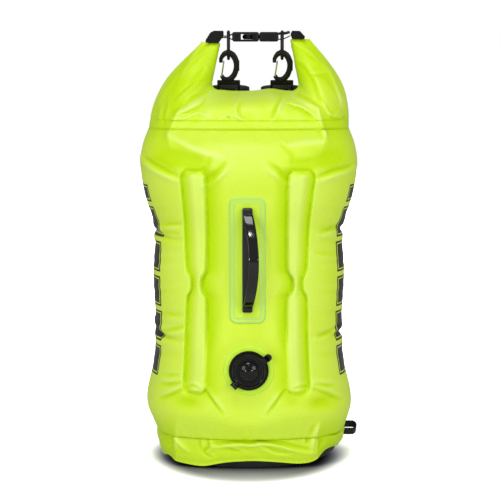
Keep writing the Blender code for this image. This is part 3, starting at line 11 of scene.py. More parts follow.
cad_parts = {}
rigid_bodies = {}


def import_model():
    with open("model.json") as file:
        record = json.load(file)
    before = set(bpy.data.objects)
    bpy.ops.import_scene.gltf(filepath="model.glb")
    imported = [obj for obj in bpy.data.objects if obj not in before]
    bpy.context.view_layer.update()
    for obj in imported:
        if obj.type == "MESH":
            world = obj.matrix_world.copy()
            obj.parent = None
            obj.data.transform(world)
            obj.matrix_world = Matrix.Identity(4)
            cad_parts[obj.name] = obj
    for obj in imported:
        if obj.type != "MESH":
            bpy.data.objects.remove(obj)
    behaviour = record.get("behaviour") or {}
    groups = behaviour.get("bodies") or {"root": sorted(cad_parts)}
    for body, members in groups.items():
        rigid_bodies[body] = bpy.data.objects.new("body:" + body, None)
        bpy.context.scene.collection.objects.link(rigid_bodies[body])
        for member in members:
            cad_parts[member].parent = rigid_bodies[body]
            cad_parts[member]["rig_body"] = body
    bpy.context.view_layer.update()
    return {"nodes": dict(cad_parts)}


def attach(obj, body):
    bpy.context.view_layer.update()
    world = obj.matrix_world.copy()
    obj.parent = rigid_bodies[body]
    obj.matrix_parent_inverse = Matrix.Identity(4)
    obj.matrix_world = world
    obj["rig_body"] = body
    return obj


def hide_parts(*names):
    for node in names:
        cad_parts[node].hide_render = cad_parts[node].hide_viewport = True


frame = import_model()
nodes = frame["nodes"]

# View
# A long lens stands 2.25 m in front of the buoy, about as high as its top, and looks slightly down, so
# the front of the base stands lower in the frame than its sides.

VIEW_PLACE, VIEW_AIM = Vector((0.0017, -2.250, 0.560)), Vector((0.0017, 0.0, 0.291))
LENS, SENSOR = 116.5, 36.0

scene = bpy.context.scene
scene.view_settings.view_transform = "Standard"
camera = bpy.data.cameras.new("view")
camera.lens = LENS
camera.sensor_width = SENSOR
view = bpy.data.objects.new("view", camera)
view.location = VIEW_PLACE
view.rotation_euler = (VIEW_AIM - VIEW_PLACE).to_track_quat("-Z", "Y").to_euler()
scene.collection.objects.link(view)
scene.camera = view

# Studio
# A white paper floor under a white sky. Three soft boxes stand above, left and right of the front, and
# three small round lamps, two low beside the camera and one above it, give the glints in glossy parts.


def hex_to_linear(code):
    """A written sRGB colour as the linear one that a shader takes."""
    channels = [int(code[index:index + 2], 16) / 255 for index in (1, 3, 5)]
    return (*[c / 12.92 if c <= 0.04045 else ((c + 0.055) / 1.055) ** 2.4 for c in channels], 1.0)


def add_node(tree, kind, inputs=None, stops=(), **settings):
    """Add a node, set its settings and colour stops, and give each named input a value or a link."""
    node = tree.nodes.new(kind)
    for name, value in settings.items():
        setattr(node, name, value)
    for name, value in (inputs or {}).items():
        socket = node.inputs[name]
        if isinstance(value, bpy.types.NodeSocket):
            tree.links.new(value, socket)
        else:
            socket.default_value = value
    if stops:
        first, *between, last = stops
        node.color_ramp.elements[0].color = first[1]
        node.color_ramp.elements[1].color = last[1]
        for at, colour in between:
            node.color_ramp.elements.new(at).color = colour
    return node


FLOOR_SIZE = 12.0
# Strength of the paper under the buoy and further off, and its colours as seen by the object's faces
# and in the shadow, where it is a little bluer against the lime light that the buoy throws on it
PAPER_NEAR, PAPER_FAR = 2.6, 5.5
PAPER_BOUNCE, PAPER_SHADOW = hex_to_linear("#E4E4E4"), (0.98, 0.95, 1.10, 1)
# Contact shade: the middle it is measured from, behind the origin, its share across, its start and end
SHADE_BACK, SHADE_ACROSS, SHADE_START, SHADE_END = 0.030, 0.38, 0.0423, 0.2350
# Share of the way from its start to its end, then the share of light that is left there
SHADE_LEVELS = (
    (0.0, 0.005), (0.045, 0.012), (0.09, 0.045), (0.18, 0.090), (0.30, 0.17), (0.43, 0.28), (0.63, 0.55),
    (1.0, 1.0),
)
# Half width and half depth of the oval that holds the shade, and where its edge starts and ends
SHADE_HALF_WIDTH, SHADE_HALF_DEPTH, EDGE_START, EDGE_END = 0.150, 0.200, 0.66, 1.12

floor_bm = bmesh.new()
bmesh.ops.create_grid(floor_bm, x_segments=4, y_segments=4, size=FLOOR_SIZE / 2)
floor_mesh = bpy.data.meshes.new("studio_floor")
floor_bm.to_mesh(floor_mesh)
floor_bm.free()
floor = bpy.data.objects.new("studio_floor", floor_mesh)
scene.collection.objects.link(floor)
paper = bpy.data.materials.new("white_paper_floor")
paper.use_nodes = True
tree = paper.node_tree
path = add_node(tree, "ShaderNodeLightPath")
place = add_node(tree, "ShaderNodeTexCoord").outputs["Object"]
away = add_node(tree, "ShaderNodeVectorMath", {0: place}, operation="LENGTH").outputs["Value"]
bright = add_node(tree, "ShaderNodeMapRange", {
    "Value": away, "From Min": 0.30, "From Max": 1.20, "To Min": PAPER_NEAR, "To Max": PAPER_FAR,
}).outputs["Result"]
# The shade is darkest along the foot's front edge and thins out forwards, and quickly at both sides
drawn_in = add_node(tree, "ShaderNodeMapping", {
    "Vector": place, "Location": (0, SHADE_BACK, 0), "Scale": (SHADE_ACROSS, 1, 1),
}).outputs["Vector"]
ahead = add_node(tree, "ShaderNodeVectorMath", {0: drawn_in}, operation="LENGTH").outputs["Value"]
past = add_node(tree, "ShaderNodeMapRange", {
    "Value": ahead, "From Min": SHADE_START, "From Max": SHADE_END,
}).outputs["Result"]
shade = add_node(tree, "ShaderNodeValToRGB", {"Fac": past}, [
    (at, (level, level, level, 1)) for at, level in SHADE_LEVELS
]).outputs["Color"]
shares = add_node(tree, "ShaderNodeMapping", {
    "Vector": place, "Scale": (1 / SHADE_HALF_WIDTH, 1 / SHADE_HALF_DEPTH, 1),
}).outputs["Vector"]
aside = add_node(tree, "ShaderNodeVectorMath", {0: shares}, operation="LENGTH").outputs["Value"]
aside = add_node(tree, "ShaderNodeMapRange", {
    "Value": aside, "From Min": EDGE_START, "From Max": EDGE_END,
}, interpolation_type="SMOOTHERSTEP").outputs["Result"]
contact = add_node(tree, "ShaderNodeMath", {0: shade, 1: aside}, operation="ADD", use_clamp=True).outputs[0]
neutral = add_node(tree, "ShaderNodeMix", {
    "Factor": contact, "A": PAPER_SHADOW, "B": (1, 1, 1, 1),
}, data_type="RGBA").outputs["Result"]
bright = add_node(tree, "ShaderNodeMath", {0: bright, 1: contact}, operation="MULTIPLY").outputs[0]
bright = add_node(tree, "ShaderNodeVectorMath", {0: neutral, 1: bright}, operation="MULTIPLY").outputs[0]
seen = add_node(tree, "ShaderNodeMix", {
    "Factor": path.outputs["Is Camera Ray"], "A": PAPER_BOUNCE, "B": bright,
}, data_type="RGBA")
matt = add_node(tree, "ShaderNodeBsdfDiffuse", {"Color": seen.outputs["Result"]})
tree.links.new(matt.outputs["BSDF"], tree.nodes["Material Output"].inputs["Surface"])
floor_mesh.materials.append(paper)

SKY_SEEN, SKY_LIGHT = 1.0, 0.42
sky = bpy.data.worlds.new("white_sky")
sky.use_nodes = True
scene.world = sky
tree = sky.node_tree
path = add_node(tree, "ShaderNodeLightPath")
seen_sky = add_node(tree, "ShaderNodeBackground", {"Color": (1, 1, 1, 1), "Strength": SKY_SEEN})
light_sky = add_node(tree, "ShaderNodeBackground", {"Color": (1, 1, 1, 1), "Strength": SKY_LIGHT})
sky_mix = add_node(tree, "ShaderNodeMixShader", {
    0: path.outputs["Is Camera Ray"], 1: light_sky.outputs[0], 2: seen_sky.outputs[0],
})
tree.links.new(sky_mix.outputs[0], tree.nodes["World Output"].inputs["Surface"])

LAMP_AIM = Vector((0, 0, 0.28))
# Name, place, size in metres and power in watts
LAMPS = (
    ("lamp_top_box", (-0.18, -1.00, 2.10), 0.70, 12.2),
    ("lamp_left_box", (-1.45, -1.60, 0.95), 1.00, 11.6),
    ("lamp_right_box", (1.45, -1.60, 0.95), 1.00, 12.8),
    ("lamp_left_spot", (-0.82, -1.98, 0.24), 0.12, 3.6),
    ("lamp_right_spot", (0.82, -1.98, 0.24), 0.12, 3.6),
    ("lamp_high_spot", (-0.06, -1.72, 1.72), 0.10, 1.4),
)
for name, place, size, watts in LAMPS:
    data = bpy.data.lights.new(name, "AREA")
    data.shape = "DISK" if name.endswith("spot") else "SQUARE"
    data.size = size
    data.energy = watts
    lamp = bpy.data.objects.new(name, data)
    lamp.location = place
    lamp.rotation_euler = (LAMP_AIM - lamp.location).to_track_quat("-Z", "Y").to_euler()
    scene.collection.objects.link(lamp)

# Air chamber
# The inflated ring of the buoy: lime nylon with a welded plastic coating, blown up tight between its
# two ring welds. Four upright welds on the front draw it in and leave two narrow tubes.

HALF_WIDTH, FRONT_DEPTH, BACK_DEPTH = 0.1505, 0.112, 0.102
LOW_WELD, HIGH_WELD = 0.049, 0.462
SQUARENESS = 2.5
# What is welded on the front and keeps it flat there: the valve's ring and the handle's patch
VALVE_Z, VALVE_SEAT = 0.140, 0.1045
HANDLE_X, HANDLE_Z = -0.0017, 0.289
# Distances from the valve's axis between which the flat round it turns into the skin's own curve
FLAT_START, FLAT_END = 0.045, 0.080
# Height share between the two ring welds, then shares of half width, front and back depth
STATIONS = (
    (0.000, 0.870, 0.885, 0.880), (0.085, 0.953, 0.990, 0.985), (0.206, 0.893, 0.930, 0.960),
    (0.317, 0.865, 0.885, 0.930), (0.518, 0.886, 0.868, 0.910), (0.668, 0.868, 0.893, 0.930),
    (0.777, 0.957, 0.965, 0.975), (0.884, 1.000, 1.000, 1.000), (0.947, 0.975, 0.930, 0.940),
    (1.000, 0.920, 0.735, 0.720),
)
# Height, then how far out the inner and outer weld of the left and of the right tube stand
SEAM_LINES = (
    (0.112, 0.0580, 0.0885, 0.0519, 0.0820), (0.157, 0.0570, 0.0862, 0.0507, 0.0800),
    (0.186, 0.0565, 0.0850, 0.0507, 0.0790), (0.231, 0.0562, 0.0830, 0.0508, 0.0780),
    (0.239, 0.0575, 0.0818, 0.0522, 0.0768), (0.245, 0.0615, 0.0782, 0.0572, 0.0732),
    (0.254, 0.0632, 0.0768, 0.0592, 0.0716), (0.263, 0.0622, 0.0776, 0.0580, 0.0728),
    (0.271, 0.0575, 0.0815, 0.0525, 0.0765), (0.281, 0.0560, 0.0836, 0.0510, 0.0778),
    (0.340, 0.0557, 0.0856, 0.0511, 0.0808), (0.400, 0.0570, 0.0905, 0.0520, 0.0880),
)
TUBE_FOOT, TUBE_TOP, TUBE_CORNER = 0.1110, 0.4085, 0.0105
# How deep the skin sinks at a tube's inner weld, at its outer one and at its two ends
INNER_DEPTH, OUTER_DEPTH, END_DEPTH = 0.0072, 0.0064, 0.0046
# Width of the slope from the front panel down to the left and to the right tube
PANEL_SLOPES = {-1: 0.0245, 1: 0.0205}
# Side, then how far out the front's corner stands at the upper and at the lower ring weld
CORNER_LINES = ((-1, 0.1060, 0.0975), (1, 0.1000, 0.0900))
CORNER_HEIGHT = 0.0046
# The two grooves down the back: how far out they stand, their depth and half width
GROOVE_X, GROOVE_DEPTH, GROOVE_HALF = 0.062, 0.0062, 0.0075
# How far the foot leans out on the right and sags in front
FOOT_LEAN, FOOT_SAG = 0.0052, 0.0058
# Depth of a line in the cloth at which its painted shade and light are full
FULL_SHADING_DEPTH = 0.0028
# Lines pressed into the skin or raised from it, in millimetres: depth (below zero for a ridge), half
# width, share of the lip beside it (left of its run, or right when below zero), then its (x, z) points
CHAMBER_CREASES = (
    (3.2, 3.2, -0.7, (-141, 422), (-127, 414), (-110, 407), (-93, 400)),
    (1.2, 3.6, 0.0, (-131, 424), (-113, 416), (-97, 408)),
    (3.6, 3.4, -0.6, (-56, 395), (-41, 408), (-28, 423)),
    (1.8, 3.2, 0.0, (-63, 408), (-55, 418), (-49, 428)),
    (-2.2, 5.0, 0.0, (-106, 455), (-79, 441), (-56, 433), (-28, 424)),
    (3.2, 3.2, 0.7, (138, 412), (128, 410), (113, 407), (92, 400)),
    (3.4, 3.4, 0.6, (51, 398), (39, 410), (25, 420)),
    (-2.0, 4.6, 0.0, (104, 447), (84, 447), (65, 445), (49, 441)),
    (1.8, 4.0, 0.0, (49, 440), (58, 428), (58, 416)),
    (1.3, 1.8, 0.5, (43, 445), (50, 438)),
    (3.0, 2.2, 0.6, (-59, 115), (-48, 101), (-35, 84)),
    (2.6, 2.6, -0.6, (-90, 115), (-106, 106), (-123, 97)),
    (2.2, 2.6, -0.6, (-94, 123), (-108, 119), (-122, 116)),
    (1.2, 2.6, -0.5, (-97, 132), (-118, 129)),
    (3.0, 2.2, -0.6, (48, 115), (37, 100), (25, 84)),
    (2.6, 2.4, 0.6, (90, 115), (109, 106), (128, 95)),
    (1.8, 2.4, 0.6, (92, 121), (118, 115)),
    (1.8, 2.8, 0.6, (-92, 336), (-105, 335), (-118, 332)),
    (1.2, 2.6, 0.6, (-95, 322), (-118, 323)),
    (2.0, 2.8, 0.6, (-88, 197), (-102, 192), (-118, 187)),
    (1.0, 3.2, 0.6, (-92, 212), (-118, 210)),
    (1.8, 2.8, -0.6, (98, 324), (112, 328), (126, 335)),
    (2.0, 2.8, -0.6, (96, 184), (110, 188), (127, 195)),
    (1.0, 3.2, -0.6, (92, 296), (122, 290)),
    (1.0, 2.2, 0.5, (-84, 405), (-72, 407), (-65, 402)),
    (1.2, 2.2, -0.5, (62, 400), (70, 406), (81, 404)),
    (1.4, 1.8, 0.6, (-84, 118), (-76, 121), (-66, 117)),
    (1.4, 1.8, -0.6, (80, 118), (70, 120), (60, 117)),
    (2.0, 2.2, 0.5, (91, 473), (93, 463), (97, 454)),
    (-2.2, 2.4, 0.0, (96, 470), (99, 461), (104, 450)),
    (-2.2, 2.4, 0.0, (95, 68), (90, 58), (85, 48)),
    (1.6, 2.4, 0.0, (88, 66), (82, 52)),
)
# Deep kinks round the sides: side, height, depth, half height, middle of its reach in y
SIDE_KINKS = (
    (-1, 0.3215, 0.0065, 0.0034, -0.012), (-1, 0.1850, 0.0070, 0.0034, -0.010),
    (1, 0.3230, 0.0034, 0.0040, -0.006), (1, 0.1780, 0.0036, 0.0040, -0.004),
)
# Broad hollows and swells: x, z, half width, half height, depth inwards
HOLLOWS = (
    (-0.1040, 0.4260, 0.0280, 0.0150, 0.0050), (-0.0720, 0.4210, 0.0170, 0.0085, 0.0028),
    (0.1120, 0.4250, 0.0220, 0.0150, 0.0046), (0.0740, 0.4190, 0.0210, 0.0085, 0.0028),
    (-0.0840, 0.0990, 0.0170, 0.0085, 0.0026), (0.0990, 0.0970, 0.0170, 0.0085, 0.0028),
    (0.0600, 0.1000, 0.0100, 0.0070, 0.0014),
)


def smooth_step(value, start, end):
    """Rise from 0 at start to 1 at end with level ends."""
    t = np.clip((value - start) / (end - start), 0.0, 1.0)
    return t * t * (3 - 2 * t)


def hill(value, middle, half_width):
    """Rise smoothly to 1 at the middle; about a third of it is left at the half width."""
    return np.exp(-(((value - middle) / half_width) ** 2))


def signed_power(value, power):
    """A power of the size that keeps the sign, which squares off a sine or a cosine."""
    return np.sign(value) * np.abs(value) ** power


def smooth_row(rows, along):
    """Columns of a table of rows, read on a smooth curve at any places along its first column."""
    table = np.array(rows)
    key = table[:, 0]
    along = np.clip(along, key[0], key[-1])
    i = np.clip(np.searchsorted(key, along) - 1, 0, len(key) - 2)
    before, after = np.maximum(i - 1, 0), np.minimum(i + 2, len(key) - 1)
    span = (key[i + 1] - key[i])[:, None]
    t = (along - key[i])[:, None] / span
    a, b = table[i, 1:], table[i + 1, 1:]
    slope_in = (b - table[before, 1:]) / (key[i + 1] - key[before])[:, None] * span
    slope_out = (table[after, 1:] - a) / (key[after] - key[i])[:, None] * span
    mixed = (2 * t**3 - 3 * t**2 + 1) * a + (t**3 - 2 * t**2 + t) * slope_in
    mixed += (3 * t**2 - 2 * t**3) * b + (t**3 - t**2) * slope_out
    return mixed.T


def ripple(along, seed, longest, shortest, waves=7):
    """Uneven ripples between -1 and 1 along a length, from a few seeded waves."""
    source = np.random.default_rng(seed)
    total = np.zeros_like(along)
    for _ in range(waves):
        length = source.uniform(shortest, longest)
        total += np.sin(2 * math.pi * along / length + source.uniform(0, 2 * math.pi))
    return total / waves * 1.8


def creases(x, z, rows):
    """How far a table of lines lifts the cloth at each point, and its painted shading: painted light above
    zero, painted shade below zero.
    """
    relief, painted_shading = np.zeros_like(x), np.zeros_like(x)
    for depth, half_width, lip, *points in rows:
        count = len(points)
        knots = [(index, *point) for index, point in enumerate(points)]
        path = smooth_row(knots, np.linspace(0, count - 1, 4 * (count - 1) + 1)).T / 1000
        depth, half_width, start = depth / 1000, half_width / 1000, 0.0
        nearest, off, along = np.full_like(x, 1.0), np.zeros_like(x), np.zeros_like(x)
        for (x0, z0), (x1, z1) in zip(path[:-1], path[1:]):
            dx, dz = x1 - x0, z1 - z0
            length = math.hypot(dx, dz)
            t = np.clip(((x - x0) * dx + (z - z0) * dz) / length**2, 0, 1)
            away_x, away_z = x - x0 - t * dx, z - z0 - t * dz
            away = np.hypot(away_x, away_z)
            closer = away < nearest
            nearest = np.where(closer, away, nearest)
            off = np.where(closer, np.copysign(away, dx * away_z - dz * away_x), off)
            along = np.where(closer, start + t * length, along)
            start += length
        taper = np.sin(math.pi * (0.12 + 0.84 * along / start)) ** 0.7
        line = hill(nearest, 0, half_width)
        beside = hill(off * np.sign(lip), half_width * 1.9, half_width * 1.3) * abs(lip)
        relief += depth * taper * (beside - line)
        strength = np.clip(depth / FULL_SHADING_DEPTH, -1, 1)
        painted_shading += 1.35 * strength * taper * (0.6 * beside - line**1.5)
    return relief, painted_shading


def mapped_grid(columns, rows, place, weld=1e-6, fill_ends=False):
    """Bend a grid: place(u, v) gives its points, its cloth coordinates in metres and maybe its painted
    shading, painted shade and light that the mesh keeps for its material.
    """
    bm = bmesh.new()
    bmesh.ops.create_grid(bm, x_segments=columns, y_segments=rows, size=0.5)
    flat = np.array([vert.co[:] for vert in bm.verts])
    points, cloth, *painted_shading = place(flat[:, 0] + 0.5, flat[:, 1] + 0.5)
    if painted_shading:
        painted_shading_layer = bm.verts.layers.float.new("painted_shading")
        for vert, value in zip(bm.verts, painted_shading[0].tolist()):
            vert[painted_shading_layer] = value
    layer = bm.loops.layers.uv.new("cloth")
    bm.verts.index_update()
    cloth = cloth.tolist()
    for face in bm.faces:
        for loop in face.loops:
            loop[layer].uv = cloth[loop.vert.index]
    for vert, point in zip(bm.verts, points.tolist()):
        vert.co = point
    bmesh.ops.remove_doubles(bm, verts=bm.verts, dist=weld)
    if fill_ends:
        bmesh.ops.holes_fill(bm, edges=[edge for edge in bm.edges if edge.is_boundary], sides=0)
    bmesh.ops.recalc_face_normals(bm, faces=bm.faces)
    return bm


def dress(name, bm, material, stands_for=(), body=None, sharp=None):
    """Make a bmesh a piece: it rides on the body of the node that it stands for."""
    mesh = bpy.data.meshes.new(name)
    bm.to_mesh(mesh)
    bm.free()
    mesh.shade_smooth()
    if sharp:
        mesh.set_sharp_from_angle(angle=math.radians(sharp))
    mesh.materials.append(material)
    piece = bpy.data.objects.new(name, mesh)
    scene.collection.objects.link(piece)
    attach(piece, body or nodes[stands_for[0]]["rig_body"])
    if stands_for:
        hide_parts(*stands_for)
    return piece


def body_sizes(z):
    """Half width, front depth and back depth of the body at each height."""
    width, front, back = smooth_row(STATIONS, (z - LOW_WELD) / (HIGH_WELD - LOW_WELD))
    return HALF_WIDTH * width, FRONT_DEPTH * front, BACK_DEPTH * back


def oval_turn(u, front_weight=1.7):
    """Angle and length round the body's oval for each u; it starts at the back and is closer at the front."""
    angle = np.linspace(math.pi / 2, 5 * math.pi / 2, 4001)
    c, s = np.cos(angle), np.sin(angle)
    x = HALF_WIDTH * signed_power(c, 2 / SQUARENESS)
    y = np.where(s > 0, BACK_DEPTH, FRONT_DEPTH) * signed_power(s, 2 / SQUARENESS)
    steps = np.hypot(np.diff(x), np.diff(y))
    length = np.concatenate([[0], np.cumsum(steps)])
    weighed = np.concatenate([[0], np.cumsum(steps * np.where(s[1:] < 0, front_weight, 1.0))])
    return np.interp(u, weighed / weighed[-1], angle), np.interp(u, weighed / weighed[-1], length)


def oval(angle, half_width, front, back):
    """X, y and outward normal of a soft-cornered oval."""
    c, s = np.cos(angle), np.sin(angle)
    depth = np.where(s > 0, back, front)
    x_share = signed_power(c, 2 / SQUARENESS)
    y_share = signed_power(s, 2 / SQUARENESS)
    nx = np.sign(c) * np.abs(x_share) ** (SQUARENESS - 1) / half_width
    ny = np.sign(s) * np.abs(y_share) ** (SQUARENESS - 1) / depth
    size = np.hypot(nx, ny)
    return half_width * x_share, depth * y_share, nx / size, ny / size


def tube_relief(x, z):
    """How far the two welded tubes draw the skin in on the front, and the painted shade and light that go
    with it.
    """
    drawn, painted_shading = np.zeros_like(x), np.zeros_like(x)
    lines = smooth_row(SEAM_LINES, z)
    for side, inner, outer in ((-1, lines[0], lines[1]), (1, lines[2], lines[3])):
        reach = side * x
        half, high = (outer - inner) / 2, (TUBE_TOP - TUBE_FOOT) / 2
        corner = np.minimum(TUBE_CORNER, half * 0.95)
        from_x, from_z = reach - (inner + outer) / 2, z - (TUBE_TOP + TUBE_FOOT) / 2
        past_x, past_z = np.abs(from_x) - (half - corner), np.abs(from_z) - (high - corner)
        over = np.hypot(np.maximum(past_x, 0), np.maximum(past_z, 0))
        apart = over + np.minimum(np.maximum(past_x, past_z), 0) - corner
        way_x = np.maximum(past_x, 0) / np.maximum(over, 1e-9) * np.sign(from_x)
        way_z = np.maximum(past_z, 0) / np.maximum(over, 1e-9)
        inwards, outwards = np.clip(-way_x, 0, 1) ** 2, np.clip(way_x, 0, 1) ** 2
        depth = INNER_DEPTH * inwards + OUTER_DEPTH * outwards + END_DEPTH * way_z**2
        width = PANEL_SLOPES[side] * inwards + 0.0034 * outwards + 0.0080 * way_z**2
        slope = np.clip(1 - apart / np.maximum(width, 1e-4), 0, 1) ** 2
        panel = outwards * np.exp(-np.maximum(apart - 0.003, 0) / 0.020) * smooth_step(apart, 0.0008, 0.003)
        weld_line = outwards * hill(apart, 0, 0.0015)
        # Painted shade on the slope down into the tube and in the outer weld line, painted light on the panel
        # beside it
        outside_painted_shading = 0.28 * panel - 0.55 * weld_line - 1.4 * (inwards + 0.9 * way_z**2) * slope**0.55
        flank = np.clip(1 - (outer - reach) / np.minimum(0.0150, (outer - inner) * 0.62), 0, 1) ** 1.4
        rise_in = 1 - smooth_step(reach - inner, 0.0, 0.0026)
        rise_end = 1 - smooth_step(high - np.abs(from_z), 0.0, 0.0032)
        crown = smooth_step(-apart, 0.0, 0.0060)
        sunk = np.maximum(np.maximum(INNER_DEPTH * rise_in, OUTER_DEPTH * flank), END_DEPTH * rise_end)
        within = sunk - 0.0018 * crown * (1 - flank)
        # Painted light on the tube's crown, painted shade on its outer flank and at its inner weld
        within_painted_shading = 0.50 * crown - 1.45 * flank - 0.25 * rise_in
        inside = apart < 0
        drawn += np.where(inside, within, depth * slope - 0.0012 * panel)
        painted_shading += np.where(inside, within_painted_shading, outside_painted_shading)
    return drawn, painted_shading


def corner_relief(x, y, z):
    """The front's upright corners beside both ring welds: a sharp ridge, and beyond it the turned side, with
    painted light on the ridge and painted shade on the side.
    """
    relief, painted_shading = np.zeros_like(x), np.zeros_like(x)
    front = smooth_step(-y, 0.0, 0.02)
    top = smooth_step(z, 0.430, 0.462)
    foot = 1 - smooth_step(z, 0.050, 0.078)
    for side, upper, lower in CORNER_LINES:
        for share, line in ((top, upper), (foot, lower)):
            beyond = side * x - line
            relief += CORNER_HEIGHT * np.exp(-np.abs(beyond) / 0.010) * share * front
            rim = hill(beyond, -0.0018, 0.0015)
            painted_shading += share * front * (0.12 * rim - 0.9 * smooth_step(beyond, -0.0005, 0.0035))
    return relief, painted_shading


def chamber_detail(x, y, z, round_way):
    """Folds, kinks, hollows and puckers of the chamber's skin, outwards, and the painted shade and light that
    go with them.
    """
    front = smooth_step(-y, 0.0, 0.02)
    detail, painted_shading = creases(x, z, CHAMBER_CREASES)
    detail, painted_shading = detail * front, painted_shading * front
    corner, corner_painted_shading = corner_relief(x, y, z)
    detail, painted_shading = detail + corner, painted_shading + corner_painted_shading
    for cx, cz, wide, high, depth in HOLLOWS:
        bowl = np.exp(-(((x - cx) / wide) ** 2) - ((z - cz) / high) ** 2) * front
        detail -= depth * bowl
        # Painted shade in the hollow
        painted_shading -= 1.6 * min(depth / 0.0030, 1.0) * bowl
    for side, height, depth, half_height, reach in SIDE_KINKS:
        near = smooth_step(side * x, 0.070, 0.115) * hill(y, reach, 0.060)
        slant = height + 0.10 * (y - reach) * (1 if side < 0 else -1)
        line = hill(z, slant, half_height)
        detail -= depth * near * line
        rims = hill(np.abs(z - slant), half_height * 2.6, half_height * 1.7)
        detail += depth * 0.30 * near * rims
        # Painted shade along the kink
        painted_shading -= near * line
    # Small puckers, and a dark line of painted shade along both ring welds
    for weld, way in ((LOW_WELD, 1), (HIGH_WELD, -1)):
        up = (z - weld) * way
        pucker = 0.0008 * ripple(round_way, 11 + way, 0.040, 0.014) * np.exp(-up / 0.011)
        detail += pucker * smooth_step(up, 0.0, 0.004)
        painted_shading -= (0.9 if way > 0 else 0.4) * hill(up, 0, 0.0022)
    # Fine ripples on the sides, and a skin that is a little uneven all round, least in the middle
    flank = smooth_step(np.abs(x), 0.085, 0.110)
    flank = flank * smooth_step(z, 0.13, 0.17) * (1 - smooth_step(z, 0.34, 0.39))
    waver = ripple(z + 0.12 * y, 5, 0.034, 0.013) * flank
    detail += 0.00045 * waver
    plain = 1 - hill(x, 0, 0.045) * 0.7
    detail += 0.0006 * ripple(z * 0.9 + x * 0.5, 21, 0.16, 0.07) * ripple(round_way, 22, 0.20, 0.08) * plain
    # Painted light: the skin is made palest above the handle and a little paler under the valve and all over,
    # and it follows the side ripples
    upper = np.exp(-((x / 0.060) ** 2) - ((z - 0.425) / 0.022) ** 2)
    lower = np.exp(-((x / 0.100) ** 4) - ((z - 0.078) / 0.020) ** 2)
    painted_shading += 0.12 * waver + 0.12 + (0.30 * upper + 0.05 * lower) * front
    back = smooth_step(y, 0.0, 0.03)
    for seam in (-GROOVE_X, GROOVE_X):
        faded = smooth_step(z, 0.10, 0.125) * (1 - smooth_step(z, 0.385, 0.41))
        groove = hill(x, seam, GROOVE_HALF) * faded * back
        detail -= GROOVE_DEPTH * groove
        # Painted shade in the groove
        painted_shading -= 0.8 * groove
    return detail, painted_shading


def front_skin(x, z):
    """Y of the chamber's front skin, for what is welded on it."""
    x, z = np.atleast_1d(x).astype(float), np.atleast_1d(z).astype(float)
    half_width, front, _ = body_sizes(z)
    share = np.minimum(np.abs(x) / half_width, 1.0)
    y = -front * (1 - share**SQUARENESS) ** (1 / SQUARENESS)
    y = y + tube_relief(x, z)[0] * smooth_step(1 - share, 0.0, 0.2)
    flat = 1 - smooth_step(np.hypot(x, z - VALVE_Z), FLAT_START, FLAT_END)
    return y * (1 - flat) - VALVE_SEAT * flat


def foot_shift(x, y, z):
    """How far the skin leans out on the right and sags in front, both growing towards the foot."""
    lean = FOOT_LEAN * smooth_step(x, 0.07, 0.13) * hill(z, 0.036, 0.036)
    sag = FOOT_SAG * np.clip(1 - (z - LOW_WELD) / 0.22, 0, 1) ** 1.2 * smooth_step(-y, 0.0, 0.06)
    return lean, sag


def chamber_place(u, v):
    """The chamber's skin from the lower weld to the upper one."""
    eased = v - 0.03 * np.sin(2 * math.pi * v)
    z = LOW_WELD + 0.0003 + (HIGH_WELD - LOW_WELD - 0.0006) * eased
    angle, round_way = oval_turn(u)
    half_width, front, back = body_sizes(z)
    x, y, nx, ny = oval(angle, half_width, front, back)
    y = np.where((y < 0) & (np.abs(x) < half_width * 0.995), front_skin(x, z), y)
    # No folds where the valve's ring and the handle's patch are welded on
    calm = 1 - np.exp(-(np.hypot(x, z - VALVE_Z) / 0.040) ** 4) * (y < 0)
    beside_patch = smooth_step(np.abs(x - HANDLE_X), 0.028, 0.040)
    past_patch = smooth_step(np.abs(z - HANDLE_Z), 0.092, 0.105)
    patch = 1 - (y < 0) * (1 - beside_patch) * (1 - past_patch)
    out, painted_shading = chamber_detail(x, y, z, round_way)
    out, painted_shading = out * calm * patch, painted_shading + np.where(y < 0, tube_relief(x, z)[1], 0.0)
    lean, sag = foot_shift(x, y, z)
    points = np.column_stack([x + nx * out + lean, y + ny * out, z - sag])
    return points, np.column_stack([round_way, z]), painted_shading


def principled(name, **values):
    """A new material with its Principled shader; values name the shader's sockets with _ for spaces."""
    made = bpy.data.materials.new(name)
    made.use_nodes = True
    shader = made.node_tree.nodes["Principled BSDF"]
    for key, value in values.items():
        shader.inputs[key.replace("_", " ")].default_value = value
    return made, made.node_tree, shader


def connect(tree, shader, **sources):
    """Link outputs to the shader's sockets, named with _ for spaces."""
    for key, source in sources.items():
        tree.links.new(source, shader.inputs[key.replace("_", " ")])


# A wave texture of scale 1 repeats every 0.314 m
WAVE_LENGTH = 0.314
# Coated cloth's clouds of colour, its specks and its dents, in millimetres across
CLOUDS, SPECKS, DENTS = 71.4, 2.38, 18.2


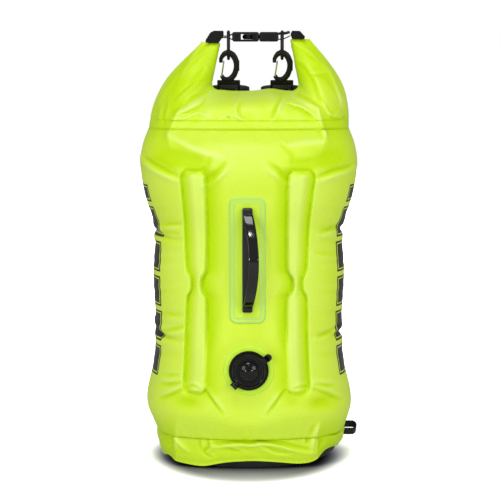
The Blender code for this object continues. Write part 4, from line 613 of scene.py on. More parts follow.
def coated_fabric(name, colour, deep, pale, roughness, pitch, weave_depth):
    """Woven cloth under a plastic coating: a fine weave shows through a soft gloss, and the mesh's painted
    shade and light follow its folds.
    """
    made, tree, shader = principled(name, Roughness=roughness)
    cloth = add_node(tree, "ShaderNodeUVMap", uv_map="cloth").outputs["UV"]
    solid = add_node(tree, "ShaderNodeTexCoord").outputs["Object"]
    cloud = add_node(tree, "ShaderNodeTexNoise", {"Vector": solid, "Scale": 1000 / CLOUDS, "Detail": 3.0})
    speck = add_node(tree, "ShaderNodeTexNoise", {"Vector": solid, "Scale": 1000 / SPECKS})
    both = add_node(tree, "ShaderNodeMath", {
        0: cloud.outputs["Fac"], 1: speck.outputs["Fac"],
    }, operation="ADD").outputs[0]
    uneven = add_node(tree, "ShaderNodeMapRange", {
        "Value": both, "From Min": 0.55, "From Max": 1.45, "To Min": 0.38, "To Max": 0.62,
    }).outputs["Result"]
    # Painted shade and light: the mesh's painted shading, with a random drift, makes the colour deep and less
    # glossy in creases and pale and glossier on crests
    painted_shading = add_node(tree, "ShaderNodeAttribute", attribute_name="painted_shading").outputs["Fac"]
    share = add_node(tree, "ShaderNodeMath", {
        0: painted_shading, 1: 0.5, 2: uneven,
    }, operation="MULTIPLY_ADD").outputs[0]
    shine = add_node(tree, "ShaderNodeMapRange", {"Value": share, "To Min": 0.15, "To Max": 0.55})
    shown = add_node(tree, "ShaderNodeValToRGB", {"Fac": share}, [
        (0, hex_to_linear(deep)), (0.5, hex_to_linear(colour)), (1, hex_to_linear(pale)),
    ]).outputs["Color"]
    # The real yarns are about 0.4 mm apart, too fine to show, so they are drawn wider
    weave = [add_node(tree, "ShaderNodeTexWave", {
        "Vector": cloth, "Scale": WAVE_LENGTH / pitch, "Distortion": 0.6, "Detail": 1.0, "Detail Scale": 3.0,
    }, bands_direction=direction).outputs["Fac"] for direction in ("X", "Y")]
    crossed = add_node(tree, "ShaderNodeMath", dict(enumerate(weave)), operation="MULTIPLY").outputs[0]
    fine = add_node(tree, "ShaderNodeBump", {"Height": crossed, "Strength": 0.5, "Distance": weave_depth})
    dents = add_node(tree, "ShaderNodeTexNoise", {"Vector": solid, "Scale": 1000 / DENTS, "Roughness": 0.4})
    soft = add_node(tree, "ShaderNodeBump", {
        "Height": dents.outputs["Fac"], "Strength": 0.30, "Distance": 0.0004,
        "Normal": fine.outputs["Normal"],
    })
    connect(tree, shader, Specular_IOR_Level=shine.outputs["Result"], Base_Color=shown,
            Normal=soft.outputs["Normal"])
    return made, tree, shader, shown, solid


# Colour, its deep and its pale shade, which give the random drift and the painted shade and painted light on
# folds, roughness, then the weave's pitch and depth as drawn
LIME_COATING = ("#C6E328", "#B6DA00", "#D3EC6A", 0.44, 0.0011, 0.00004)
lime_fabric, *_ = coated_fabric("lime_coated_nylon", *LIME_COATING)

# Each side carries a row of plain black blocks, printed with a thin lime line inside their edge: half
# their spacing, half their height, then the row's half width, middle height and half height
BLOCK_PITCH, BLOCK_EDGE, BAND_HALF, BAND_MIDDLE, BAND_REACH = 0.0240, 0.0208, 0.052, 0.252, 0.135
LINE_INSET, LINE_HALF = 0.0034, 0.0007
printed_fabric, tree, shader, lime, solid = coated_fabric("lime_coated_nylon_printed", *LIME_COATING)
split = add_node(tree, "ShaderNodeSeparateXYZ", {"Vector": solid}).outputs
across = add_node(tree, "ShaderNodeMath", {0: split["Y"]}, operation="ABSOLUTE").outputs[0]
in_row = add_node(tree, "ShaderNodeMath", {0: split["Z"], 1: BLOCK_PITCH}, operation="PINGPONG").outputs[0]
up = add_node(tree, "ShaderNodeMath", {0: split["Z"], 1: BAND_MIDDLE}, operation="SUBTRACT").outputs[0]
up = add_node(tree, "ShaderNodeMath", {0: up}, operation="ABSOLUTE").outputs[0]
side_gap, block_gap, end_gap = [
    add_node(tree, "ShaderNodeMath", {0: measure, 1: edge}, operation="SUBTRACT").outputs[0]
    for measure, edge in ((across, BAND_HALF), (in_row, BLOCK_EDGE), (up, BAND_REACH))
]
gap = add_node(tree, "ShaderNodeMath", {0: side_gap, 1: block_gap}, operation="MAXIMUM").outputs[0]
gap = add_node(tree, "ShaderNodeMath", {0: gap, 1: end_gap}, operation="MAXIMUM").outputs[0]
inked = add_node(tree, "ShaderNodeMath", {0: gap, 1: 0.0}, operation="LESS_THAN").outputs[0]
inner_line = add_node(tree, "ShaderNodeMath", {
    0: gap, 1: -LINE_INSET, 2: LINE_HALF,
}, operation="COMPARE").outputs[0]
bare = add_node(tree, "ShaderNodeMath", {0: 1.0, 1: inner_line}, operation="SUBTRACT").outputs[0]
inked = add_node(tree, "ShaderNodeMath", {0: inked, 1: bare}, operation="MULTIPLY").outputs[0]
printed = add_node(tree, "ShaderNodeMix", {
    "Factor": inked, "A": lime, "B": hex_to_linear("#15170F"),
}, data_type="RGBA")
connect(tree, shader, Base_Color=printed.outputs["Result"])

dress("chamber_skin", mapped_grid(400, 236, chamber_place), printed_fabric, ["air_chamber"])

# Lower skirt and base
# Below the lower weld a slack lime collar hangs in small folds, and a black rubberised fabric
# pillow closes it underneath and stands on the ground.

SKIRT_SHARES = ((0.0, 0.925), (0.25, 0.965), (0.6, 0.985), (1.0, 0.990))
# Share of the pillow's rows that its underside takes
BASE_BOTTOM = 0.45
# Run up its side, then shares of the collar's half width and depth, and the height in millimetres
BASE_SHARES = (
    (0.0, 0.66, 0.76, 0.0), (0.10, 0.72, 0.82, 0.5), (0.30, 0.82, 0.88, 4.5), (0.55, 0.92, 0.92, 12.0),
    (0.80, 0.95, 0.93, 24.0), (1.0, 0.93, 0.91, 42.0),
)
# X, then height of the collar's foot there on the front
FOOT_LINE = (
    (-0.135, 0.0120), (-0.118, 0.0090), (-0.108, 0.0115), (-0.094, 0.0060), (-0.066, 0.0036),
    (-0.042, 0.0075), (-0.020, 0.0112), (0.001, 0.0127), (0.024, 0.0118), (0.054, 0.0075), (0.076, 0.0070),
    (0.087, 0.0095), (0.103, 0.0215), (0.120, 0.0180), (0.135, 0.0120),
)
# The lower ring weld's oval, where the chamber's lowest station is
WELD_HALF, WELD_FRONT, WELD_BACK = [
    size * share for size, share in zip((HALF_WIDTH, FRONT_DEPTH, BACK_DEPTH), STATIONS[0][1:])
]
# The collar's folds, in the same form as the chamber's
SKIRT_CREASES = (
    (3.8, 2.6, -0.9, (-45, 37), (-21, 41), (2, 40), (16, 42), (39, 39), (61, 32), (82, 25)),
    (1.8, 2.4, 0.5, (-68, 42), (-67, 28)),
    (2.2, 2.0, 0.6, (-56, 42), (-55, 32), (-61, 24), (-52, 17)),
    (2.4, 2.2, 0.4, (79, 36), (80, 47)),
    (-2.4, 2.4, 0.0, (87, 49), (85, 37), (84, 22)),
    (-2.0, 2.8, 0.0, (-97, 49), (-96, 38), (-82, 22)),
    (1.8, 2.4, 0.5, (92, 44), (97, 36), (92, 26)),
    (1.6, 2.2, 0.6, (-30, 30), (-12, 26)),
    (1.4, 2.2, -0.6, (20, 34), (38, 26), (60, 22)),
    (2.0, 2.6, 0.6, (-112, 44), (-104, 34), (-108, 26)),
    (1.8, 2.4, -0.6, (106, 47), (116, 43), (128, 44)),
)


def skirt_place(u, v):
    """The collar from its uneven foot to the lower weld."""
    angle, round_way = oval_turn(u)
    share = smooth_row(SKIRT_SHARES, v)[0]
    x, y, nx, ny = oval(angle, WELD_HALF * share, WELD_FRONT * share, WELD_BACK * share)
    line = smooth_row(FOOT_LINE, np.where(y < 0, x, 0.9 * np.abs(x)))[0]
    foot = line + 0.0008 * ripple(round_way, 31, 0.12, 0.05)
    sag = foot_shift(x, y, np.full_like(x, LOW_WELD))[1]
    z = foot + (LOW_WELD + 0.0006 - sag - foot) * v
    slack = np.sin(math.pi * np.clip(v, 0, 1)) ** 0.7
    sideways = ripple(round_way + 0.5 * z, 32, 0.085, 0.030)
    out = 0.0018 * sideways * ripple(z * 2.2 + round_way * 0.15, 33, 0.10, 0.04) * slack
    gathers = 0.0009 * ripple(round_way, 34, 0.036, 0.014) * np.exp(-(1 - v) / 0.16)
    out += gathers * smooth_step(1 - v, 0, 0.08)
    # Painted shade and light: the collar is made darker overall, paler where it stands out and deeper where
    # it sinks
    painted_shading = -0.20 + 110 * out
    for where, way in ((y < 0, 1), (y >= 0, -1)):
        relief, shade = creases(x * way, z, SKIRT_CREASES)
        out, painted_shading = out + np.where(where, relief, 0.0), painted_shading + np.where(where, shade, 0.0)
    corner, corner_painted_shading = corner_relief(x, y, z)
    out = out + corner - 0.0020 * np.exp(-(1 - v) / 0.05)
    # Painted shade along the collar's top, under the lower weld
    painted_shading = painted_shading + corner_painted_shading - 0.9 * np.exp(-(1 - v) / 0.04)
    out += 0.0016 * hill(v, 0, 0.07)
    x = x + foot_shift(x, y, z)[0]
    return np.column_stack([x + nx * out, y + ny * out, z]), np.column_stack([round_way, z]), painted_shading


dress("skirt_collar", mapped_grid(380, 60, skirt_place), lime_fabric, ["lower_skirt"])


def base_place(u, v):
    """The black pillow from the middle of its underside out and up inside the collar."""
    angle, round_way = oval_turn(u, 1.0)
    wide, deep, up = smooth_row(BASE_SHARES, np.clip((v - BASE_BOTTOM) / (1 - BASE_BOTTOM), 0, 1))
    inner, up = np.minimum(v / BASE_BOTTOM, 1.0), up / 1000
    wide, deep = wide * inner, deep * inner
    x, y, nx, ny = oval(angle, WELD_HALF * wide, WELD_FRONT * deep, WELD_BACK * deep)
    edge = smooth_step(v, BASE_BOTTOM, 0.62)
    z = up + edge * (0.0009 * (1 + ripple(round_way, 41, 0.09, 0.03))) * (1 - smooth_step(v, 0.8, 1.0))
    out = 0.0008 * edge * ripple(round_way, 42, 0.05, 0.02)
    return np.column_stack([x + nx * out, y + ny * out, np.maximum(z, 0.0)]), np.column_stack([x, y])


black_fabric, *_ = coated_fabric(
    "black_rubberised_fabric", "#0C0D0D", "#080909", "#131414", 0.5, 0.0014, 0.00008,
)
dress("base_pillow", mapped_grid(160, 60, base_place, 1e-5), black_fabric, ["base_panel"])

# Dry bag liner
# The inner bag of thin grey coated fabric, a plain upright cup welded to the chamber's upper edge and
# hidden inside it.

LINER_HALF_WIDTH, LINER_FRONT, LINER_BACK = 0.0960, 0.0590, 0.0560
LINER_FOOT, LINER_TOP = 0.0130, 0.4600
# Share of the grid's rows that the bottom takes
LINER_BOTTOM = 0.2


def liner_place(u, v):
    """Bottom from the middle outwards, then the wall up to the upper weld."""
    angle, round_way = oval_turn(u, 1.0)
    share = np.minimum(v / LINER_BOTTOM, 1.0)
    x, y, nx, ny = oval(angle, LINER_HALF_WIDTH * share, LINER_FRONT * share, LINER_BACK * share)
    z = LINER_FOOT + (LINER_TOP - LINER_FOOT) * np.clip((v - LINER_BOTTOM) / (1 - LINER_BOTTOM), 0, 1)
    return np.column_stack([x, y, z]), np.column_stack([round_way, z])


grey_fabric, *_ = coated_fabric(
    "grey_coated_liner", "#8E9394", "#84898A", "#999E9F", 0.5, 0.0012, 0.00004,
)
dress("liner_cup", mapped_grid(96, 40, liner_place, 1e-5), grey_fabric, ["dry_bag_liner"])

# Neck
# The fabric throat of the dry bag: it rises from the upper ring weld, swells over the shoulders and
# is gathered flat under the rolled mouth, which leaves puckers and long slanting folds.

# The rolled mouth is a U: its middle, half width at the foot and at the tips, heights and bends
CLOSURE_X, CLOSURE_HALF, CLOSURE_TIP_HALF = 0.009, 0.079, 0.062
ROLL_Z, TIP_Z, BEND_RADIUS, RIGHT_RISE = 0.4985, 0.578, 0.024, 0.0055
ROLL_HALF_HEIGHT, ROLL_HALF_DEPTH = 0.013, 0.0065
MOUTH_POINTS = 400
# The throat's folds, in the same form as the chamber's
NECK_CREASES = (
    (-1.6, 3.5, 0.0, (-63, 579), (-74, 563), (-82, 552)),
    (2.1, 2.5, 0.8, (-62, 543), (-75, 527), (-90, 514), (-101, 503)),
    (3.9, 3.6, 0.8, (-58, 511), (-78, 503), (-89, 495), (-103, 487)),
    (2.8, 2.0, -0.8, (-57, 505), (-65, 495), (-78, 487), (-91, 482)),
    (-2.1, 1.6, 0.0, (-104, 476), (-88, 477), (-76, 482), (-67, 485), (-58, 482), (-49, 476)),
    (-1.6, 1.6, 0.0, (-38, 476), (-32, 481), (-23, 482), (-15, 479), (-8, 475)),
    (2.3, 1.9, -0.7, (-12, 499), (-14, 490), (-11, 482), (-3, 477)),
    (1.6, 1.5, 0.5, (-29, 481), (-25, 475)),
    (3.2, 2.2, -0.8, (31, 479), (38, 496), (45, 507)),
    (3.2, 1.9, 0.9, (55, 496), (73, 488), (88, 476)),
    (3.9, 2.5, -0.6, (66, 509), (86, 500), (98, 493)),
    (2.8, 3.3, 0.8, (70, 549), (82, 534), (92, 514), (99, 501)),
    (2.5, 2.0, 0.9, (86, 535), (98, 535), (110, 536)),
    (2.1, 2.3, 0.8, (65, 572), (77, 565), (90, 556)),
    (-2.3, 2.3, 0.0, (103, 550), (115, 531), (125, 505), (126, 488)),
    (-1.8, 1.9, 0.0, (99, 500), (108, 485), (116, 479), (123, 486)),
    (-2.5, 1.9, 0.0, (93, 491), (95, 480), (97, 468)),
    (1.8, 2.3, 0.6, (-112, 500), (-116, 480), (-114, 468)),
    (1.8, 2.3, 0.6, (-124, 492), (-127, 470)),
    (2.1, 2.3, 0.6, (112, 478), (122, 474), (132, 478)),
    (1.6, 2.7, 0.6, (-76, 570), (-92, 545), (-104, 520)),
)


def closure_line(outward, top):
    """Dense points along the U of the rolled mouth, moved outward from its middle line."""
    lean = (CLOSURE_HALF - CLOSURE_TIP_HALF) / (TIP_Z - ROLL_Z)
    low, edge, radius = ROLL_Z - outward, outward * math.hypot(1, lean), BEND_RADIUS + outward
    foot = CLOSURE_HALF + edge + lean * outward
    tip = CLOSURE_HALF + edge - lean * (top - ROLL_Z)
    rise = Vector((foot - tip, top - low)).normalized()
    reach = radius / math.tan(math.acos(rise.x) / 2)
    centre = Vector((foot - reach, low + radius))
    points = [Vector((0, low)), centre - Vector((0, radius))]
    start, end = -math.pi / 2, math.atan2(rise.x, rise.y)
    for step in range(1, 25):
        turn = start + (end - start) * step / 24
        points.append(centre + Vector((math.cos(turn), math.sin(turn))) * radius)
    points.append(Vector((tip, top)))
    right = [(CLOSURE_X + point.x, point.y) for point in points]
    left = [(CLOSURE_X - point.x, point.y) for point in reversed(points[1:])]
    return np.array(left + right)


def run_length(points):
    """Length of a line up to each of its points."""
    return np.concatenate([[0], np.cumsum(np.linalg.norm(np.diff(points, axis=0), axis=1))])


def along_line(points, share):
    """Points at shares of a line's length."""
    points = np.asarray(points, float)
    length = run_length(points)
    at = share * length[-1]
    return np.column_stack([np.interp(at, length, column) for column in points.T])


def mouth_lines():
    """Where the throat ends: behind, close under the roll, and in front, wrapped up over it."""
    under = closure_line(ROLL_HALF_HEIGHT - 0.0002, TIP_Z - 0.0004)
    over = closure_line(-ROLL_HALF_HEIGHT - 0.0006, TIP_Z - 0.0004)
    over = along_line(np.vstack([under[:1], over, under[-1:]]), np.linspace(0, 1, MOUTH_POINTS))
    wave = 0.0032 * hill(over[:, 0], 0.030, 0.016)
    wave += 0.0014 * hill(over[:, 0], -0.040, 0.012)
    over[:, 1] += np.where(over[:, 1] < 0.520, wave, 0.0)
    for line in (under, over):
        raised = RIGHT_RISE * smooth_step(line[:, 0], 0.050, 0.060)
        line[:, 1] += raised * smooth_step(line[:, 1], 0.530, 0.575)
    return under, over


def neck_place(u, v):
    """The throat from the upper weld's oval; in front it wraps up over the roll, behind it stops under it."""
    angle, round_way = oval_turn(u)
    half_width, front, back = (value[0] for value in body_sizes(np.array([HIGH_WELD])))
    x, y, nx, ny = oval(angle, half_width, front, back)
    side = x / half_width
    turned = (angle - math.pi / 2) / (2 * math.pi)
    under, over = mouth_lines()
    behind = np.clip(np.where(turned < 0.25, 0.5 - 2 * turned, 2.5 - 2 * turned), 0, 1)
    ahead = np.clip(2 * turned - 0.5, 0, 1)
    is_front = (turned >= 0.25) & (turned <= 0.75)
    mouth = np.where(is_front[:, None], along_line(over, ahead), along_line(under, behind))
    # From the weld's oval to the mouth, swelling over the shoulders, then round over the roll
    rise = np.minimum(v / 0.93, 1.0)
    swell = np.sin(math.pi * rise)
    px = x * (1 - rise) + mouth[:, 0] * rise + 0.018 * swell * side**3
    pz = (HIGH_WELD - 0.0004) * (1 - rise) + mouth[:, 1] * rise + 0.008 * swell * (1 - side**2)
    round_over = smooth_step(v, 0.90, 1.0)
    flat = np.where(is_front, 0.0082, 0.0045) * np.minimum(np.abs(y) / 0.02, 1.0)
    lean = np.where(is_front, (1 - rise**2.0) ** 0.9, (1 - rise) ** 0.85)
    over_roll = np.where(is_front, 1 - 0.75 * round_over, 1.0)
    py = y * lean + np.sign(y) * flat * smooth_step(rise, 0.0, 0.6) * over_roll
    pz = pz + np.where(is_front, 0.0010, 0.0) * np.sin(math.pi * np.clip((v - 0.86) / 0.14, 0, 1))
    # Painted shade: the cloth is made darker from 500 to 535 mm up, round the roll
    out, painted_shading = np.zeros_like(px), 0.10 - 0.85 * smooth_step(pz, 0.500, 0.535)
    for where, way, shift in ((is_front, 1, 0.0), (~is_front, -1, 0.018)):
        relief, shade = creases(px * way + shift, pz, NECK_CREASES)
        out, painted_shading = out + np.where(where, relief, 0.0), painted_shading + np.where(where, shade, 0.0)
    corner, corner_painted_shading = corner_relief(x, y, np.full_like(x, HIGH_WELD))
    left_up = 1 - smooth_step(pz, 0.510, 0.545)
    right_up = 1 - smooth_step(pz, 0.470, 0.500)
    kept = np.where(x < 0, left_up, right_up)
    out, painted_shading = out + corner * kept, painted_shading + corner_painted_shading * kept
    # Puckers above the ring weld, with its own line and the welded edge's line over it; painted light on the
    # puckers, painted shade in both lines
    up = pz - HIGH_WELD
    puckers = ripple(round_way, 51, 0.046, 0.018) * hill(up, 0.016, 0.010)
    out += 0.0008 * puckers
    low_line, high_line = hill(up, 0, 0.0020), hill(up, 0.0118, 0.0013)
    out -= 0.0011 * low_line + 0.0013 * high_line
    painted_shading += 0.25 * puckers - 0.5 * low_line - 0.8 * high_line
    # Painted light: the front cloth drawn tight under the roll is made palest
    lit = smooth_step(rise, 0.35, 0.85) * (1 - smooth_step(pz, 0.515, 0.535))
    painted_shading += np.where(is_front, 0.30, 0.0) * lit
    # Broad swells, painted paler where they stand out
    broad = ripple(round_way + pz, 52, 0.09, 0.04)
    out += 0.0010 * broad * swell
    painted_shading += 0.18 * broad * swell
    out *= smooth_step(1 - v, 0.0, 0.12)
    moved = np.column_stack([px + nx * out * 0.3, py + ny * out, pz])
    return moved, np.column_stack([round_way, pz]), painted_shading


dress("neck_throat", mapped_grid(420, 120, neck_place), lime_fabric, ["neck"])

# Rolled mouth
# The mouth is rolled down over a flat plastic strip and its two ends are turned up to the buckle.
# The roll is the same lime fabric, with the free edge of the outer turn as a line along it.


def path_frames(points, axis):
    """Points, tangents, width directions and thickness directions along a dense line."""
    points = np.asarray(points, float)
    tangent = np.gradient(points, axis=0)
    tangent /= np.linalg.norm(tangent, axis=1)[:, None]
    axis = np.broadcast_to(np.asarray(axis, float), points.shape)
    side = axis - (axis * tangent).sum(1)[:, None] * tangent
    side /= np.linalg.norm(side, axis=1)[:, None]
    return points, tangent, side, np.cross(tangent, side)


def swept(points, axis, section, columns, rows, fill_ends=True):
    """Sweep a section down a line; section(u, v, length) gives width, thickness and cloth x."""
    points, tangent, side, across = path_frames(points, axis)
    length = run_length(points)

    def place(u, v):
        at = v * length[-1]
        centre, wide, thick = [
            np.column_stack([np.interp(at, length, data[:, k]) for k in range(3)])
            for data in (points, side, across)
        ]
        a, b, cloth_x = section(u, v, length[-1])
        moved = centre + wide * a[:, None] + thick * b[:, None]
        return moved, np.column_stack([cloth_x, at])

    return mapped_grid(columns, rows, place, fill_ends=fill_ends)


ROLL_GIRTH = 0.070


def roll_section(u, v, length):
    """The roll's flattened section: crowned faces, and a step where the outer turn ends."""
    c, s = np.cos(2 * math.pi * u), np.sin(2 * math.pi * u)
    a = ROLL_HALF_DEPTH * signed_power(c, 0.62)
    b = ROLL_HALF_HEIGHT * signed_power(s, 0.62)
    along = v * length
    face = np.abs(c) ** 0.5
    a = a + np.sign(c) * face * 0.0011 * ripple(along + b * 0.6, 61, 0.05, 0.018)
    step = smooth_step(b, -0.0062, -0.0048) - 0.5
    a = a + np.sign(c) * face * 0.0010 * step
    b = b + 0.0007 * ripple(along, 62, 0.06, 0.02) * np.abs(s)
    return a, b, u * ROLL_GIRTH


roll_line = along_line(closure_line(0.0, TIP_Z), np.linspace(0, 1, MOUTH_POINTS))
roll_points = np.column_stack([roll_line[:, 0], np.zeros(MOUTH_POINTS), roll_line[:, 1]])
roll = swept(roll_points, (0, 1, 0), roll_section, 56, 300)
dress("rolled_mouth", roll, lime_fabric, ["roll_top"])


def moulded(name, clouds=None, relief=None, **values):
    """A smooth solid whose colour drifts in clouds over a fine relief.

    clouds holds their size in millimetres, their detail and two shades; relief holds its grain's size
    and detail, and the bump's strength and depth in metres."""
    made, tree, shader = principled(name, **values)
    solid = add_node(tree, "ShaderNodeTexCoord").outputs["Object"]
    cloud = None
    if clouds:
        size, detail, *shades = clouds
        cloud = add_node(tree, "ShaderNodeTexNoise", {
            "Vector": solid, "Scale": 1000 / size, "Detail": detail,
        }).outputs["Fac"]
        stops = list(enumerate(map(hex_to_linear, shades)))
        connect(tree, shader, Base_Color=add_node(
            tree, "ShaderNodeValToRGB", {"Fac": cloud}, stops).outputs["Color"])
    if relief:
        size, detail, strength, depth = relief
        grain = add_node(tree, "ShaderNodeTexNoise", {
            "Vector": solid, "Scale": 1000 / size, "Detail": detail,
        }).outputs["Fac"]
        bump = add_node(tree, "ShaderNodeBump", {"Height": grain, "Strength": strength, "Distance": depth})
        connect(tree, shader, Normal=bump.outputs["Normal"])
    return made, tree, shader, cloud


# Extruded polyethylene: dark, dull and faintly waxy
strip_plastic, *_ = moulded(
    "strip_polyethylene", relief=(1.111, 2.0, 0.3, 0.0001), Roughness=0.5,
    Base_Color=hex_to_linear("#202223"),
)


def give_finish(material, *names):
    """Show CAD nodes in a material."""
    for name in names:
        nodes[name].material_slots[0].material = material


give_finish(strip_plastic, "stiffener_strip")

# End tabs and closure webbing
# Black woven polyester webbing, 25 mm wide: folded and sewn over the strip's two ends, and looped
# through the buckle's bars so that the closure also serves as a carry loop.


def woven_webbing(name, colour, deep, pale):
    """Flat woven polyester: ribs across the band, darker between, and a firm edge cord on each side."""
    made, tree, shader = principled(
        name, Roughness=0.82, Specular_IOR_Level=0.25, Sheen_Weight=0.12, Sheen_Roughness=0.4,
    )
    cloth = add_node(tree, "ShaderNodeUVMap", uv_map="cloth").outputs["UV"]
    # Real ribs are about 0.9 mm apart along the band, drawn slightly wider
    ribs = add_node(tree, "ShaderNodeTexWave", {
        "Vector": cloth, "Scale": WAVE_LENGTH / 0.0012, "Distortion": 0.8, "Detail": 1.0,
    }, bands_direction="Y").outputs["Fac"]
    yarns = add_node(tree, "ShaderNodeTexWave", {
        "Vector": cloth, "Scale": WAVE_LENGTH / 0.0016, "Distortion": 0.5,
    }, bands_direction="X").outputs["Fac"]
    woven = add_node(tree, "ShaderNodeMath", {0: ribs, 1: yarns}, operation="MULTIPLY").outputs[0]
    fuzz = add_node(tree, "ShaderNodeTexNoise", {"Vector": cloth, "Scale": 1000 / 1.111, "Detail": 3.0})
    share = add_node(tree, "ShaderNodeMath", {
        0: woven, 1: fuzz.outputs["Fac"],
    }, operation="MULTIPLY").outputs[0]
    shown = add_node(tree, "ShaderNodeValToRGB", {"Fac": share}, [
        (0, hex_to_linear(deep)), (0.3, hex_to_linear(colour)), (1, hex_to_linear(pale)),
    ])
    bump = add_node(tree, "ShaderNodeBump", {"Height": woven, "Strength": 0.8, "Distance": 0.00025})
    connect(tree, shader, Base_Color=shown.outputs["Color"], Normal=bump.outputs["Normal"])
    return made


def smooth_line(points, count):
    """Evenly spaced points on a smooth curve through a few given ones."""
    points = np.array([list(point) for point in points], float)
    dense = []
    for i in range(len(points) - 1):
        before, start, end = points[max(i - 1, 0)], points[i], points[i + 1]
        after = points[min(i + 2, len(points) - 1)]
        for t in np.linspace(0, 1, 16, endpoint=False):
            dense.append((
                (-t**3 + 2 * t**2 - t) * before + (3 * t**3 - 5 * t**2 + 2) * start
                + (-3 * t**3 + 4 * t**2 + t) * end + (t**3 - t**2) * after) / 2)
    dense.append(points[-1])
    return along_line(dense, np.linspace(0, 1, count))


def flat_section(width, thickness, squareness=7.0):
    """A flat closed section with round edges."""
    def section(u, v, length):
        c, s = np.cos(2 * math.pi * u), np.sin(2 * math.pi * u)
        a = width / 2 * signed_power(c, 2 / squareness)
        b = thickness / 2 * signed_power(s, 2 / squareness)
        return a, b, a
    return section


webbing_black = woven_webbing("polyester_webbing", "#0D0E0F", "#060707", "#1B1D1E")
BUCKLE_Z, BUCKLE_HALF_LENGTH = 0.587, 0.03185
WEB_THICKNESS, WEB_WIDTH = 0.0015, 0.025
TAB_HALF_DEPTH, TAB_ROUNDING = 0.0135, 0.0011

# Outline of each folded end seen from the front, in millimetres
TAB_OUTLINES = {
    "left": ((-60, 581), (-53, 592.6), (-48, 595.2), (-34.8, 595.2), (-34.8, 588), (-38, 584), (-42, 578.2)),
    "right": ((57.6, 590), (59.5, 595.2), (70, 595), (77.5, 587), (76, 584), (60, 584.2)),
}
for word, outline in TAB_OUTLINES.items():
    bm = bmesh.new()
    rim = [bm.verts.new((x / 1000, -TAB_HALF_DEPTH, z / 1000)) for x, z in outline]
    front = bmesh.ops.contextual_create(bm, geom=rim)["faces"]
    pushed = bmesh.ops.extrude_face_region(bm, geom=front)["geom"]
    moved = [item for item in pushed if isinstance(item, bmesh.types.BMVert)]
    bmesh.ops.translate(bm, verts=moved, vec=(0, TAB_HALF_DEPTH * 2, 0))
    bmesh.ops.recalc_face_normals(bm, faces=bm.faces)
    bmesh.ops.bevel(bm, geom=bm.edges[:], offset=TAB_ROUNDING, segments=3, profile=0.5, affect="EDGES",
                    material=-1)
    cloth = bm.loops.layers.uv.new("cloth")
    for face in bm.faces:
        for loop in face.loops:
            loop[cloth].uv = (loop.vert.co.y, loop.vert.co.x + loop.vert.co.z)
    dress(f"folded_tab_{word}", bm, webbing_black, [f"end_tab_{word}"], sharp=50)

# Half the rise between two sewn layers, then half height and reach of the turn round a buckle's bar
LAYER_RISE, BAR_RISE, BAR_REACH = 0.00115, 0.00325, 0.00255
# How far before the bar the two layers part
PARTING = 0.0041
BAR_TURN = ((0.0, 1.0), (0.75, 0.95), (1.0, 0.55), (1.0, 0.0), (1.0, -0.55), (0.75, -0.95), (0.0, -1.0))
SIDES = ((-1, "left"), (1, "right"))

bar = CLOSURE_X - BUCKLE_HALF_LENGTH + 0.0013
top = [(-0.0387, LAYER_RISE), (bar - PARTING * 1.6, LAYER_RISE), (bar - PARTING * 0.6, BAR_RISE)]
turn = [(bar + BAR_REACH * u, BAR_RISE * w) for u, w in BAR_TURN]
left_loop = top + turn + [(x, -z) for x, z in reversed(top)]

# On the right the upper strand runs free over the buckle's end, and the lower one hangs under it
bar = CLOSURE_X + BUCKLE_HALF_LENGTH - 0.0089
inner_end = CLOSURE_X + BUCKLE_HALF_LENGTH
over = [(0.0567, 0.0052), (0.0500, BAR_RISE * 1.1), (inner_end, BAR_RISE)]
under = [(0.0567, 0.0012), (0.0500, -BAR_RISE * 0.6), (0.0460, -BAR_RISE), (inner_end, -BAR_RISE)]
turn = [(bar - BAR_REACH * u, BAR_RISE * w) for u, w in BAR_TURN]
right_loop = over + turn + list(reversed(under))
STRAND_SAG = 0.0026


def cupped_section(u, v, length):
    """Webbing whose free upper strand sags between its two edges."""
    a, b, cloth_x = flat_section(WEB_WIDTH, WEB_THICKNESS)(u, v, length)
    free = (1 - smooth_step(v, 0.22, 0.34)) * (1 - (a / WEB_WIDTH * 2) ** 2)
    return a, b - STRAND_SAG * free, cloth_x


for (_, word), loop, section in zip(
        SIDES, (left_loop, right_loop), (flat_section(WEB_WIDTH, WEB_THICKNESS), cupped_section)):
    line = smooth_line([(x, 0, BUCKLE_Z + z) for x, z in loop], 160)
    band = swept(line, (0, 1, 0), section, 40, 150)
    dress(f"closure_band_{word}", band, webbing_black, [f"closure_webbing_{word}"])

# Buckle, rings, snap hooks
# Black acetal, moulded: an even satin face with a fine spark-eroded grain. The hooks' gates are
# bent from stainless spring wire.

# Moulded acetal: nearly black, with a satin sheen that varies softly from place to place
acetal, tree, shader, cloud = moulded(
    "black_acetal", clouds=(11.11, 2.0, "#050605", "#0C0D0B"), relief=(0.625, 2.0, 0.25, 0.00008),
    Roughness=0.38, Specular_IOR_Level=0.22,
)
rough = add_node(tree, "ShaderNodeMapRange", {"Value": cloud, "To Min": 0.30, "To Max": 0.46})
connect(tree, shader, Roughness=rough.outputs["Result"])

# Drawn stainless wire: bright, with faint warm and cool patches
steel, *_ = moulded(
    "stainless_spring_wire", clouds=(1.4286, 2.0, "#A39A82", "#CFC6AE"), Metallic=1.0, Roughness=0.24,
)

give_finish(acetal, "buckle_female", "buckle_male", "buckle_arm_front", "buckle_arm_back")
for _, word in SIDES:
    give_finish(acetal, f"d_ring_{word}", f"snap_hook_{word}", f"ladder_lock_{word}")
    give_finish(steel, f"wire_gate_{word}")

# A hook's distance from the buckle's middle, its lean, the height it hangs from, and in its own plane
# the heights of its crown and of the bar in its eye
HOOK_X, HOOK_TILT, HOOK_HANG, HOOK_CROWN, EYE_BAR_Z = 0.037, math.radians(20), 0.56126, 0.0144, -0.0379
